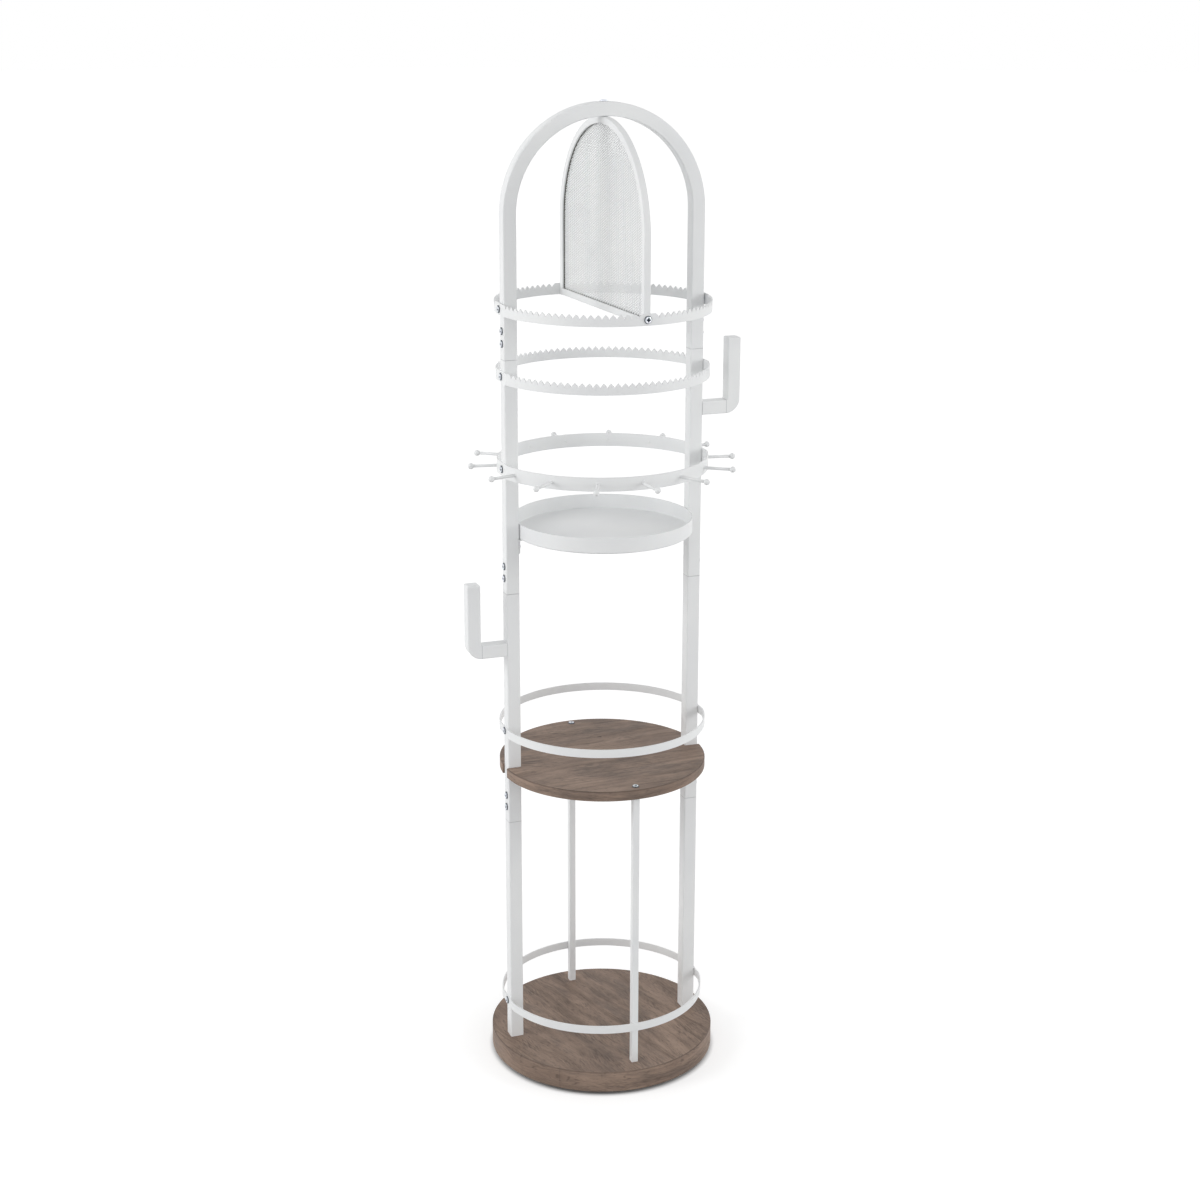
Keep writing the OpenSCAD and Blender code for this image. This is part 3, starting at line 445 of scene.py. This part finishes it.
def finish_of(key):
    """Makes each finish once and keeps it."""
    metal = bpy.context.scene.rack_metal
    wood = bpy.context.scene.rack_wood
    if key not in FINISHES:
        FINISHES[key] = {
            "coat": lambda: powder_coat("white_powder_coat"),
            # The post and hook coats carry painted shade lines; the panel coat carries the painted
            # shade strip where the mesh sits.
            "post_coat": lambda: powder_coat("post_powder_coat",
                                             [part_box(n)[1].z for n in POSTS[:3]]),
            "hook_coat": lambda: powder_coat("hook_coat_shaded_bends", [-HOOK_BEND_LINE, HOOK_BEND_LINE], "X"),
            "panel_coat": lambda: powder_coat("panel_coat_shaded_groove", groove_shaded=True),
            "base_wood": lambda: wood_grain("base_wood_laminate", wood.base_turn),
            "shelf_wood": lambda: wood_grain("shelf_wood_laminate", wood.shelf_turn,
                                             knot=KNOT_PLACE),
            "base_band": lambda: edge_grain("base_edge_laminate", wood.base_seam,
                                            "base_edge_band", 0),
            "shelf_band": lambda: edge_grain("shelf_edge_laminate", wood.shelf_seam,
                                             "shelf_edge_band", 1),
            "zinc": lambda: plated("zinc_plate", metal.zinc, 0.36),
            "screw": lambda: plated("screw_steel", metal.screw, 0.24, metal.recess),
            "bright": lambda: plated("bright_steel", metal.screw, 0.5),
            "rubber": lambda: moulded("foot_rubber", metal.rubber, 0.75, 900.0),
            "nylon": lambda: moulded("cage_nylon", metal.nylon, 0.45, 500.0),
        }[key]()
    return FINISHES[key]


def dress(names, key):
    """Gives CAD nodes a finish in the slots that they have."""
    for name in names:
        for slot in NODES[name].material_slots:
            slot.material = finish_of(key)


def linked(name, data):
    """A new object in the scene."""
    made = bpy.data.objects.new(name, data)
    bpy.context.scene.collection.objects.link(made)
    return made


def place_piece(name, mesh, key, stands_for, body="rack"):
    """Stands a finished mesh in the place of CAD nodes, as a piece that rides on a body."""
    piece = linked(name, mesh)
    mesh.materials.clear()
    mesh.materials.append(finish_of(key))
    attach(piece, body)
    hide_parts(*stands_for)


def as_mesh(work, name):
    """A new mesh of some work, which ends with it."""
    mesh = bpy.data.meshes.new(name)
    work.to_mesh(mesh)
    work.free()
    return mesh


def shade_smooth(work):
    """Every face smooth, so that only its sharp edges show."""
    for face in work.faces:
        face.smooth = True


def merged(name, sharp):
    """A CAD node's mesh as one closed skin, with edges past the given degrees kept sharp."""
    source = NODES[name].data
    mesh = bpy.data.meshes.new(name + "_skin")
    corners = [v.co.copy() for v in source.vertices]
    mesh.from_pydata(corners, [], [tuple(p.vertices) for p in source.polygons])
    work = bmesh.new()
    work.from_mesh(mesh)
    bmesh.ops.remove_doubles(work, verts=work.verts, dist=WELD)
    shade_smooth(work)
    for edge in work.edges:
        edge.smooth = len(edge.link_faces) == 2 and edge.calc_face_angle() < math.radians(sharp)
    work.to_mesh(mesh)
    work.free()
    return mesh


def baked(mesh, *modifiers):
    """The mesh after modifiers, each given as a kind and its settings."""
    holder = linked("holder", mesh)
    for kind, settings in modifiers:
        made = holder.modifiers.new(kind.title(), kind)
        for key, value in settings.items():
            if key.startswith("Socket_"):
                made[key] = value
            else:
                setattr(made, key, value)
    bpy.context.view_layer.update()
    evaluated = holder.evaluated_get(bpy.context.evaluated_depsgraph_get())
    result = bpy.data.meshes.new_from_object(evaluated)
    bpy.data.objects.remove(holder)
    return result


def close_holes(mesh):
    """Fills a skin's small upright holes, so that screws sit tight in them."""
    work = bmesh.new()
    work.from_mesh(mesh)
    walls = [f for f in work.faces if abs(f.normal.z) < 0.1 and f.calc_perimeter() < SMALL_HOLE]
    bmesh.ops.delete(work, geom=walls, context="FACES")
    rims = [e for e in work.edges if e.is_boundary]
    bmesh.ops.holes_fill(work, edges=rims, sides=0)
    for edge in rims:
        edge.smooth = True
    shade_smooth(work)
    bmesh.ops.recalc_face_normals(work, faces=work.faces)
    work.to_mesh(mesh)
    work.free()


def deepen_teeth(mesh):
    """Cuts the notches between a ring's teeth deeper."""
    teeth = bpy.context.scene.rack_teeth
    bottom = max(v.co.z for v in mesh.vertices) - teeth.depth
    for vertex in mesh.vertices:
        if abs(vertex.co.z - bottom) < 0.0001:
            vertex.co.z -= teeth.deeper


def panel_lay():
    """How the panel stands: its turn, the half width, foot and arch of its inside, its tube."""
    bar = [v.co for v in NODES["panel_bottom_bar"].data.vertices]
    far = max(p.y for p in bar)
    ends = [p for p in bar if p.y > far - BAR_END]
    middle = sum(ends, Vector()) / len(ends)
    low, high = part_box("panel_bottom_bar")
    tube = high.z - low.z
    half = math.hypot(middle.x, middle.y)
    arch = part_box("panel_frame")[1].z - tube - half
    return math.atan2(middle.y, middle.x), half, high.z, arch, tube


def polish(node, name, key, sharp=SHARP, mend=None):
    """Stands a smooth copy of a CAD node in its place, with its skin mended where asked."""
    skin = merged(node, sharp)
    if mend is not None:
        mend(skin)
    mesh = baked(skin, ("WEIGHTED_NORMAL", {"weight": 100, "keep_sharp": True}))
    place_piece(name, mesh, key, [node])


def lathe(name, profile, steps):
    """A closed turned mesh about Z from a profile of radius and height, low end first."""
    work = bmesh.new()
    rings = []
    for radius, height in profile:
        if radius < 1e-7:
            rings.append([work.verts.new((0, 0, height))])
        else:
            rings.append([work.verts.new((radius * math.cos(a), radius * math.sin(a), height))
                          for a in (2 * math.pi * i / steps for i in range(steps))])
    for lower, upper in zip(rings, rings[1:]):
        for i in range(steps):
            j = (i + 1) % steps
            around = ((lower, i), (lower, j), (upper, j), (upper, i))
            corners = [ring[k % len(ring)] for ring, k in around]
            work.faces.new(list(dict.fromkeys(corners)))
    shade_smooth(work)
    for edge in work.edges:
        edge.smooth = edge.calc_face_angle(0.0) < math.radians(TURNED_SHARP)
    return as_mesh(work, name)


def template(name, mesh):
    """An unseen object that Geometry Nodes repeat."""
    made = linked(name, mesh)
    made.hide_render = True
    return made


def new_geometry_tree(name, inputs):
    """A Geometry Nodes group with named inputs, its tree, its input node and the identifiers."""
    group = bpy.data.node_groups.new(name, "GeometryNodeTree")
    group.interface.new_socket("Geometry", in_out="INPUT", socket_type="NodeSocketGeometry")
    group.interface.new_socket("Geometry", in_out="OUTPUT", socket_type="NodeSocketGeometry")
    ids = {}
    for title, kind in inputs:
        made = group.interface.new_socket(title, in_out="INPUT", socket_type=kind)
        ids[title] = made.identifier
    tree = Tree(group)
    return group, tree, tree.add("NodeGroupInput"), ids


def scatter_tree():
    """Repeats a pattern on points: it looks along each point's aim and is as large as its span."""
    group, tree, given, _ = new_geometry_tree("Repeat on spots", [
        ("Pattern", "NodeSocketObject"), ("Finish", "NodeSocketMaterial")])
    pattern = tree.add("GeometryNodeObjectInfo", given.outputs["Pattern"]).outputs["Geometry"]
    aim = tree.add("GeometryNodeInputNamedAttribute", "aim", data_type="FLOAT_VECTOR").outputs[0]
    span = tree.add("GeometryNodeInputNamedAttribute", "span", data_type="FLOAT_VECTOR").outputs[0]
    turn = tree.add("FunctionNodeAlignRotationToVector", in_Vector=aim, axis="Z").outputs[0]
    copies = tree.add("GeometryNodeInstanceOnPoints", given.outputs["Geometry"],
                      in_Instance=pattern, in_Rotation=turn, in_Scale=span).outputs[0]
    whole = tree.add("GeometryNodeRealizeInstances", copies).outputs[0]
    done = tree.add("GeometryNodeSetMaterial", whole, in_Material=given.outputs["Finish"])
    tree.add("NodeGroupOutput", done.outputs[0])
    return group


def repeat(pattern, spots, key):
    """A mesh of the pattern repeated on spots of place, aim and span."""
    group = bpy.data.node_groups.get("Repeat on spots") or scatter_tree()
    ids = {s.name: s.identifier for s in group.interface.items_tree if s.in_out == "INPUT"}
    points = bpy.data.meshes.new("spots")
    points.from_pydata([s[0] for s in spots], [], [])
    for title, column in (("aim", 1), ("span", 2)):
        layer = points.attributes.new(title, "FLOAT_VECTOR", "POINT")
        for i, spot in enumerate(spots):
            layer.data[i].vector = spot[column]
    return baked(points, ("NODES", {
        "node_group": group, ids["Pattern"]: pattern, ids["Finish"]: finish_of(key)}))


def joined(name, meshes):
    """Several meshes as one."""
    work = bmesh.new()
    for mesh in meshes:
        work.from_mesh(mesh)
    return as_mesh(work, name)


def islands(name):
    """The corners of each separate solid of a CAD node, as lists of points."""
    work = bmesh.new()
    work.from_mesh(NODES[name].data)
    bmesh.ops.remove_doubles(work, verts=work.verts, dist=WELD)
    work.verts.index_update()
    left, found = set(work.verts), []
    while left:
        queue, solid = [left.pop()], []
        while queue:
            corner = queue.pop()
            solid.append(corner.co.copy())
            for edge in corner.link_edges:
                other = edge.other_vert(corner)
                if other in left:
                    left.remove(other)
                    queue.append(other)
        found.append(solid)
    work.free()
    return found


def reach(points, aim):
    """How far the points go along an aim: lowest and highest."""
    spread = [p.dot(aim) for p in points]
    return min(spread), max(spread)


def halfway(points, aim):
    """The middle between the lowest and the highest point along an aim."""
    return sum(reach(points, aim)) / 2


def screw_head(metal):
    """A pan head of width 1 and height 1 with a cross recess, marked for painted shade in the
    recess and round its edge.
    """
    dome = [(0.0, 0.0), (0.44, 0.0), (0.5, 0.06), (0.5, 0.24), (0.485, 0.42), (0.44, 0.62),
            (0.36, 0.80), (0.26, 0.92), (0.14, 0.98), (0.0, 1.0)]
    head = lathe("screw_head", dome, 32)
    work = bmesh.new()
    wide, long = metal.recess_width / 2, metal.recess_reach
    outline = []
    for quarter in range(4):
        c, s = [(1, 0), (0, 1), (-1, 0), (0, -1)][quarter]
        for x, y in ((wide, -wide), (long, -wide), (long, wide)):
            outline.append((x * c - y * s, x * s + y * c))
    top = [work.verts.new((x, y, 1.2)) for x, y in outline]
    low = [work.verts.new((x * 0.6, y * 0.6, 0.30)) for x, y in outline]
    work.faces.new(top)
    work.faces.new(list(reversed(low)))
    for i in range(len(top)):
        j = (i + 1) % len(top)
        work.faces.new((top[j], top[i], low[i], low[j]))
    bmesh.ops.recalc_face_normals(work, faces=work.faces)
    cutter = template("screw_cutter", as_mesh(work, "screw_cross"))
    cut = baked(head, ("BOOLEAN", {"object": cutter, "operation": "DIFFERENCE", "solver": "EXACT"}))
    bpy.data.objects.remove(cutter)
    # Painted shade: 1 in the cross recess, 0.85 round the edge of the head.
    shade_mark = cut.attributes.new("recess", "FLOAT", "POINT")
    for vertex in cut.vertices:
        radius = math.hypot(vertex.co.x, vertex.co.y)
        dome_z = math.sqrt(max(0.0, 1.0 - (radius / 0.52) ** 2))
        if radius < long * 1.05 and 0.2 < vertex.co.z < dome_z - 0.12:
            shade_mark.data[vertex.index].value = 1.0
        elif radius > 0.43:
            shade_mark.data[vertex.index].value = 0.85
    return cut


def screw_piece(name, nodes, aims, key="screw", short=0.0):
    """The screws of some nodes, as turned heads and shanks in the places of the CAD ones.

    Each screw's aim comes from its middle, and its shank ends sooner by a given length.
    """
    metal = bpy.context.scene.rack_metal
    heads, shanks = [], []
    for node in nodes:
        for solid in islands(node):
            aim = aims(sum(solid, Vector()) / len(solid))
            low, high = reach(solid, aim)
            side = aim.orthogonal().normalized()
            across = aim.cross(side)
            radius = reach(solid, side)[1] - halfway(solid, side)
            centre = side * halfway(solid, side) + across * halfway(solid, across)
            places = [(p.dot(aim), (p - centre - aim * p.dot(aim)).length) for p in solid]
            rim = min(height for height, off in places if off > radius * 0.97)
            shank = max(off for height, off in places if height < rim - 0.0001)
            wide = radius * 2 * metal.head
            top = rim + (high - rim) * HEAD_BITE
            heads.append((centre + aim * rim, aim, (wide, wide, high - rim)))
            shanks.append((centre + aim * top, -aim, (shank * 2, shank * 2, top - low - short)))
    head = template("head_pattern", screw_head(metal))
    profile = [(0, 0), (0.5, 0), (0.5, 0.94), (0.42, 1.0), (0, 1.0)]
    rod = template("shank_pattern", lathe("shank", profile, 16))
    mesh = joined(name, [repeat(head, heads, key), repeat(rod, shanks, key)])
    bpy.data.objects.remove(head)
    bpy.data.objects.remove(rod)
    place_piece(name, mesh, key, nodes)


class RACK_OT_posts(Operator):
    """Coats the two posts and the stay bars, and plates the sleeves inside them"""
    bl_idname = "rack.posts"
    bl_label = "Posts and stay bars"

    def execute(self, context):
        dress(POSTS, "post_coat")
        dress(["stay_bar_front", "stay_bar_back"], "coat")
        dress([*SLEEVES, "post_plugs", "stay_plugs"], "zinc")
        return {"FINISHED"}


class RACK_OT_arch(Operator):
    """Makes the bent tube at the top smooth and coats it"""
    bl_idname = "rack.arch"
    bl_label = "Top arch"

    def execute(self, context):
        polish("top_arch", "arch_tube", "coat")
        return {"FINISHED"}


class RACK_OT_rings(Operator):
    """Makes the toothed rings, the peg ring and the guard rings smooth and coats them"""
    bl_idname = "rack.rings"
    bl_label = "Rings"

    def execute(self, context):
        for name in RINGS:
            mend = deepen_teeth if "serrated" in name else None
            polish(name, name + "_band", "coat", sharp=RING_SHARP, mend=mend)
        dress(["ring_spacers"], "screw")
        return {"FINISHED"}


class RACK_OT_pegs(Operator):
    """Repeats the peg with its ball and its weld round the peg ring"""
    bl_idname = "rack.pegs"
    bl_label = "Pegs"

    def execute(self, context):
        shape = context.scene.rack_pegs
        balls, stems, collars = [], [], []
        for solid in islands("jewelry_pegs"):
            middle = sum(solid, Vector()) / len(solid)
            aim = Vector((middle.x, middle.y, 0)).normalized()
            low, high = reach(solid, aim)
            level = Vector((0, 0, halfway(solid, Vector((0, 0, 1)))))
            centre = aim * (high - shape.ball / 2) + level
            length = high - shape.ball / 2 - low - SHORTER
            balls.append((centre, aim, [shape.ball] * 3))
            stems.append((centre, -aim, (shape.stem, shape.stem, length)))
            collars.append((aim * (low + PEG_SEAT) + level, aim, [shape.collar] * 3))
        turns = [math.pi * i / 20 for i in range(21)]
        ball = [(0.5 * math.sin(a), -0.5 * math.cos(a)) for a in turns]
        stem = [(0, 0), (0.5, 0), (0.5, 0.985), (0.4, 1.0), (0, 1.0)]
        collar = [(0, -0.1), (0.5, -0.1), (0.5, 0.0), (0.43, 0.06), (0.36, 0.11), (0.31, 0.2),
                  (0.0, 0.2)]
        meshes = []
        for name, profile, steps, spots in (("ball", ball, 32, balls), ("stem", stem, 20, stems),
                                            ("collar", collar, 20, collars)):
            pattern = template(name, lathe(name, profile, steps))
            meshes.append(repeat(pattern, spots, "coat"))
            bpy.data.objects.remove(pattern)
        place_piece("ball_pegs", joined("ball_pegs", meshes), "coat",
                    ["jewelry_pegs"])
        return {"FINISHED"}


class RACK_OT_tray(Operator):
    """Makes the round tray smooth and coats it and its two brackets"""
    bl_idname = "rack.tray"
    bl_label = "Tray"

    def execute(self, context):
        polish("tray", "tray_pan", "coat", mend=close_holes)
        dress(["tray_bracket_left", "tray_bracket_right"], "coat")
        return {"FINISHED"}


class RACK_OT_hooks(Operator):
    """Makes the two hooks smooth and coats them and their caps"""
    bl_idname = "rack.hooks"
    bl_label = "Hooks"

    def execute(self, context):
        for side in ("left", "right"):
            polish("hook_" + side, "hook_tube_" + side, "hook_coat")
            polish("hook_cap_" + side, "hook_end_" + side, "coat")
        return {"FINISHED"}


def weave_tree():
    """Woven wire with diamond openings inside an upright outline with a round top."""
    numbers = ("Wide", "Tall", "Wire", "Crown", "Half width", "Foot", "Arch", "Turn")
    group, tree, given, ids = new_geometry_tree("Woven wire", [
        *((title, "NodeSocketFloat") for title in numbers), ("Finish", "NodeSocketMaterial")])
    take = given.outputs
    wide, tall = take["Wide"], take["Tall"]
    full = tree.math("ADD", tree.math("SUBTRACT", take["Arch"], take["Foot"]), take["Half width"])
    lift = tree.math("ADD", take["Foot"], tree.math("DIVIDE", full, 2.0))
    span = tree.math("MULTIPLY", take["Half width"], 2 * SPARE)
    columns = tree.math("CEIL", tree.math("DIVIDE", span, wide))
    rows = tree.math("CEIL", tree.math("DIVIDE", tree.math("MULTIPLY", full, SPARE), tall))
    run = tree.math("MULTIPLY", tree.math("SUBTRACT", columns, 1.0), wide)
    rise = tree.math("MULTIPLY", tree.math("SUBTRACT", rows, 1.0), tall)
    slant = tree.math("ARCTAN2", tall, wide)
    squares = tree.math("MULTIPLY_ADD", wide, wide, tree.math("MULTIPLY", tall, tall))
    half = tree.math("DIVIDE", tree.math("SQRT", squares), 4.0)
    index = tree.add("GeometryNodeInputIndex").outputs[0]
    spot = tree.add("GeometryNodeInputPosition").outputs[0]

    def strand(sign, bump):
        """One short wire over or under a crossing."""
        start = tree.vector(tree.math("MULTIPLY", half, -1.0), 0.0, 0.0)
        step = tree.vector(half, 0.0, 0.0)
        line = tree.add("GeometryNodeMeshLine", 3, None, start, step).outputs[0]
        middle = tree.add("FunctionNodeCompare", data_type="INT", operation="EQUAL")
        tree.join(index, middle.inputs[2])
        middle.inputs[3].default_value = 1
        up = tree.vector(0.0, 0.0, tree.math("MULTIPLY", take["Crown"], bump))
        moved = tree.add("GeometryNodeSetPosition", line, middle.outputs[0], None, up).outputs[0]
        spine = tree.add("GeometryNodeMeshToCurve", moved).outputs[0]
        thick = tree.math("DIVIDE", take["Wire"], 2.0)
        section = tree.add("GeometryNodeCurvePrimitiveCircle", 4, in_Radius=thick).outputs[0]
        wire = tree.add("GeometryNodeCurveToMesh", spine, section).outputs[0]
        turn = tree.vector(0.0, 0.0, tree.math("MULTIPLY", slant, sign))
        return tree.add("GeometryNodeTransform", wire, in_Rotation=turn).outputs[0]

    sheet = tree.add("GeometryNodeJoinGeometry")
    for shift, bump in ((0.0, 1.0), (0.5, -1.0)):
        grid = tree.add("GeometryNodeMeshGrid", run, rise, columns, rows).outputs[0]
        offset = tree.vector(tree.math("MULTIPLY", wide, shift),
                             tree.math("MULTIPLY_ADD", tall, shift, lift), 0.0)
        placed = tree.add("GeometryNodeTransform", grid, in_Translation=offset).outputs[0]
        u, v, _ = tree.parts(spot)
        far = beyond(tree, u, v, take["Arch"])
        outside = tree.math("MAXIMUM", tree.math("GREATER_THAN", far, take["Half width"]),
                            tree.math("LESS_THAN", v, take["Foot"]))
        kept = tree.add("GeometryNodeDeleteGeometry", placed, outside, domain="POINT").outputs[0]
        cross = tree.add("GeometryNodeJoinGeometry")
        for wire in (strand(1.0, bump), strand(-1.0, -bump)):
            tree.join(wire, cross.inputs[0])
        copies = tree.add("GeometryNodeInstanceOnPoints", kept, in_Instance=cross.outputs[0])
        tree.join(copies.outputs[0], sheet.inputs[0])
    whole = tree.add("GeometryNodeRealizeInstances", sheet.outputs[0]).outputs[0]
    stand = tree.vector(math.pi / 2, 0.0, take["Turn"])
    upright = tree.add("GeometryNodeTransform", whole, in_Rotation=stand).outputs[0]
    smooth = tree.add("GeometryNodeSetShadeSmooth", upright).outputs[0]
    done = tree.add("GeometryNodeSetMaterial", smooth, in_Material=take["Finish"])
    tree.add("NodeGroupOutput", done.outputs[0])
    return group, ids


class RACK_OT_panel(Operator):
    """Coats the frame of the earring panel and weaves its wire"""
    bl_idname = "rack.panel"
    bl_label = "Earring panel"

    def execute(self, context):
        weave = context.scene.rack_mesh
        turn, half, foot, arch, _ = panel_lay()
        polish("panel_frame", "panel_tube", "panel_coat")
        dress(["panel_bottom_bar"], "panel_coat")
        group, ids = weave_tree()
        given = {"Wide": weave.wide, "Tall": weave.tall, "Wire": weave.wire,
                 "Crown": weave.crown, "Half width": half + weave.bite,
                 "Foot": foot - weave.bite, "Arch": arch, "Turn": turn,
                 "Finish": finish_of("coat")}
        settings = {"node_group": group, **{ids[title]: value for title, value in given.items()}}
        mesh = baked(bpy.data.meshes.new("blank"), ("NODES", settings))
        place_piece("woven_wire", mesh, "coat", ["panel_mesh"])
        return {"FINISHED"}


class RACK_OT_boards(Operator):
    """Prints the wood grain on the base, the shelf and their edge bands"""
    bl_idname = "rack.boards"
    bl_label = "Base and shelf"

    def execute(self, context):
        dress(["base_disc"], "base_wood")
        dress(["shelf_disc"], "shelf_wood")
        polish("base_edge_band", "base_rim", "base_band")
        polish("shelf_edge_band", "shelf_rim", "shelf_band")
        return {"FINISHED"}


class RACK_OT_turntable(Operator):
    """Finishes the ball bearing, the ground plate, the feet and the hidden bolts"""
    bl_idname = "rack.turntable"
    bl_label = "Turntable"

    def execute(self, context):
        dress(["ground_plate", "turntable_lower_race", "turntable_upper_race", "lower_race_rivets",
               "upper_race_screws", "bearing_balls", "base_bolts"], "zinc")
        dress(["rubber_feet"], "rubber")
        dress(["ball_cage"], "nylon")
        return {"FINISHED"}


class RACK_OT_screws(Operator):
    """Repeats the round-head screws of the joints, the rings, the shelf, the tray and the panel"""
    bl_idname = "rack.screws"
    bl_label = "Screws"

    def execute(self, context):
        def outward(middle):
            return Vector((-1.0 if middle.x < 0 else 1.0, 0, 0))

        def upward(middle):
            return Vector((0, 0, 1))

        def tray_way(middle):
            if abs(middle.x) > BRACKET_OUT:
                return Vector((1.0 if middle.x < 0 else -1.0, 0, 0))
            return Vector((0, 0, -1))

        def panel_way(middle):
            return Vector((middle.x, middle.y, 0)).normalized()

        screw_piece("joint_fixings", ["joint_screws_left", "joint_screws_right"], outward)
        screw_piece("ring_fixings", ["ring_screws_left", "ring_screws_right"], outward)
        screw_piece("shelf_fixings", ["shelf_screws"], upward)
        screw_piece("tray_fixings", ["tray_screws"], tray_way, short=SHORTER)
        screw_piece("panel_fixings", ["panel_screws"], panel_way)
        screw_piece("arch_fixing", ["panel_top_screw"], upward, "bright")
        return {"FINISHED"}


def showing(tree):
    """1 for the rays that show: from the camera, in a reflection or through something clear."""
    ray = tree.add("ShaderNodeLightPath").outputs
    return tree.math("MAXIMUM", ray["Is Camera Ray"],
                     tree.math("MAXIMUM", ray["Is Glossy Ray"], ray["Is Transmission Ray"]))


def studio_floor(light):
    """A pale floor that meets the white backdrop and keeps the rack's shadow."""
    work = bmesh.new()
    bmesh.ops.create_circle(work, cap_ends=True, radius=FLOOR_RADIUS, segments=96)
    mesh = as_mesh(work, "studio_floor")
    floor = linked("studio_floor", mesh)
    finish, tree, surface, place = new_finish("studio_floor")
    surface.inputs["Roughness"].default_value = 0.9
    surface.inputs["Specular IOR Level"].default_value = 0.0
    dust = tree.ramp(tree.noise(place, 3.0, 2.0, 0.5), 0.3, 0.7)
    dusty = tuple(c * 0.99 for c in light.floor)
    tree.join(tree.blend(dust, four(light.floor), four(dusty)), surface.inputs["Base Color"])
    away = tree.add("ShaderNodeVectorMath", place, operation="LENGTH").outputs["Value"]
    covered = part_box("base_edge_band")[1].x
    far = tree.math("MULTIPLY_ADD", tree.ramp(away, *FLOOR_FADE), light.far_lift, light.lift)
    open_floor = tree.math("MULTIPLY", tree.ramp(away, covered - 0.004, covered + 0.006), far)
    glow = tree.add("ShaderNodeEmission", WHITE, tree.math("MULTIPLY", showing(tree), open_floor))
    both = tree.add("ShaderNodeAddShader", surface.outputs[0], glow.outputs[0])
    tree.join(both.outputs[0], finish.node_tree.nodes["Material Output"].inputs[0])
    mesh.materials.append(finish)


def studio_world(light):
    """Even room light with a white backdrop."""
    world = bpy.data.worlds.new("studio_room")
    bpy.context.scene.world = world
    world.use_nodes = True
    tree = Tree(world.node_tree)
    world.node_tree.nodes.clear()
    up = tree.add("ShaderNodeTexCoord").outputs["Generated"]
    rise = tree.parts(up)[2]
    side = tree.math("POWER", tree.math("SUBTRACT", 1.0, tree.math("MAXIMUM", rise, 0.0)), 2.0)
    level = tree.math("MULTIPLY_ADD", side, light.room - light.ceiling, light.ceiling)
    room = tree.add("ShaderNodeBackground", WHITE, level)
    backdrop = tree.add("ShaderNodeBackground", WHITE, 1.0)
    mix = tree.add("ShaderNodeMixShader", showing(tree), room.outputs[0], backdrop.outputs[0])
    tree.add("ShaderNodeOutputWorld", mix.outputs[0])


def studio_lamp(name, power, width, place):
    """A broad round lamp that looks at the middle of the rack."""
    lamp = bpy.data.lights.new(name, "AREA")
    lamp.shape = "DISK"
    lamp.size = width
    lamp.energy = power
    holder = linked(name, lamp)
    holder.location = place
    holder.rotation_euler = (Vector(LAMP_AIM) - Vector(place)).to_track_quat("-Z", "Y").to_euler()


def studio_camera(view):
    """The camera at the photograph's place."""
    lens = bpy.data.cameras.new("photo_camera")
    lens.sensor_width = 36.0
    lens.lens = view.lens
    lens.shift_y = view.shift
    lens.clip_end = 100.0
    camera = linked("photo_camera", lens)
    yaw = view.turn + view.pan
    level = math.cos(view.tilt)
    ahead = Vector((math.sin(yaw) * level, math.cos(yaw) * level, -math.sin(view.tilt)))
    right = Vector((math.cos(yaw), -math.sin(yaw), 0.0))
    top = right.cross(ahead)
    c, s = math.cos(view.roll), math.sin(view.roll)
    axes = Matrix((right * c + top * s, top * c - right * s, -ahead)).transposed().to_4x4()
    x, y = -view.distance * math.sin(view.turn), -view.distance * math.cos(view.turn)
    camera.matrix_world = Matrix.Translation((x, y, view.height)) @ axes
    bpy.context.scene.camera = camera


class RACK_OT_studio(Operator):
    """Lays the pale floor, the soft light and the camera"""
    bl_idname = "rack.studio"
    bl_label = "Studio"

    def execute(self, context):
        light = context.scene.rack_light
        context.scene.view_settings.view_transform = "Standard"
        studio_floor(light)
        studio_world(light)
        studio_lamp("key_lamp", light.key, light.width, KEY_PLACE)
        studio_lamp("fill_lamp", light.fill, light.width, FILL_PLACE)
        studio_camera(context.scene.rack_camera)
        return {"FINISHED"}


PIECES = (RACK_OT_posts, RACK_OT_arch, RACK_OT_rings, RACK_OT_pegs, RACK_OT_tray, RACK_OT_hooks,
          RACK_OT_panel, RACK_OT_boards, RACK_OT_turntable, RACK_OT_screws, RACK_OT_studio)
GROUPS = {"rack_coat": PowderCoat, "rack_wood": WoodLaminate, "rack_metal": Metalwork,
          "rack_mesh": WireMesh, "rack_pegs": PegShape, "rack_teeth": RingTeeth,
          "rack_light": StudioLight, "rack_camera": PhotoCamera}


class RACK_PT_sidebar(Panel):
    """Lists the pieces of the rack"""
    bl_idname = "RACK_PT_sidebar"
    bl_label = "Jewelry rack"
    bl_space_type = "VIEW_3D"
    bl_region_type = "UI"
    bl_category = "Jewelry rack"

    def draw(self, context):
        for piece in PIECES:
            self.layout.operator(piece.bl_idname)
        for title in GROUPS:
            box = self.layout.box()
            group = getattr(context.scene, title)
            for field in group.bl_rna.properties.keys():
                if field not in ("rna_type", "name"):
                    box.prop(group, field)


def register():
    for group in GROUPS.values():
        bpy.utils.register_class(group)
    for title, group in GROUPS.items():
        setattr(bpy.types.Scene, title, PointerProperty(type=group))
    for piece in (*PIECES, RACK_PT_sidebar):
        bpy.utils.register_class(piece)


def unregister():
    for piece in reversed((*PIECES, RACK_PT_sidebar)):
        bpy.utils.unregister_class(piece)
    for title, group in GROUPS.items():
        delattr(bpy.types.Scene, title)
        bpy.utils.unregister_class(group)


def main():
    register()
    for piece in PIECES:
        kind, name = piece.bl_idname.split(".")
        getattr(getattr(bpy.ops, kind), name)()


if __name__ == "__main__":
    main()
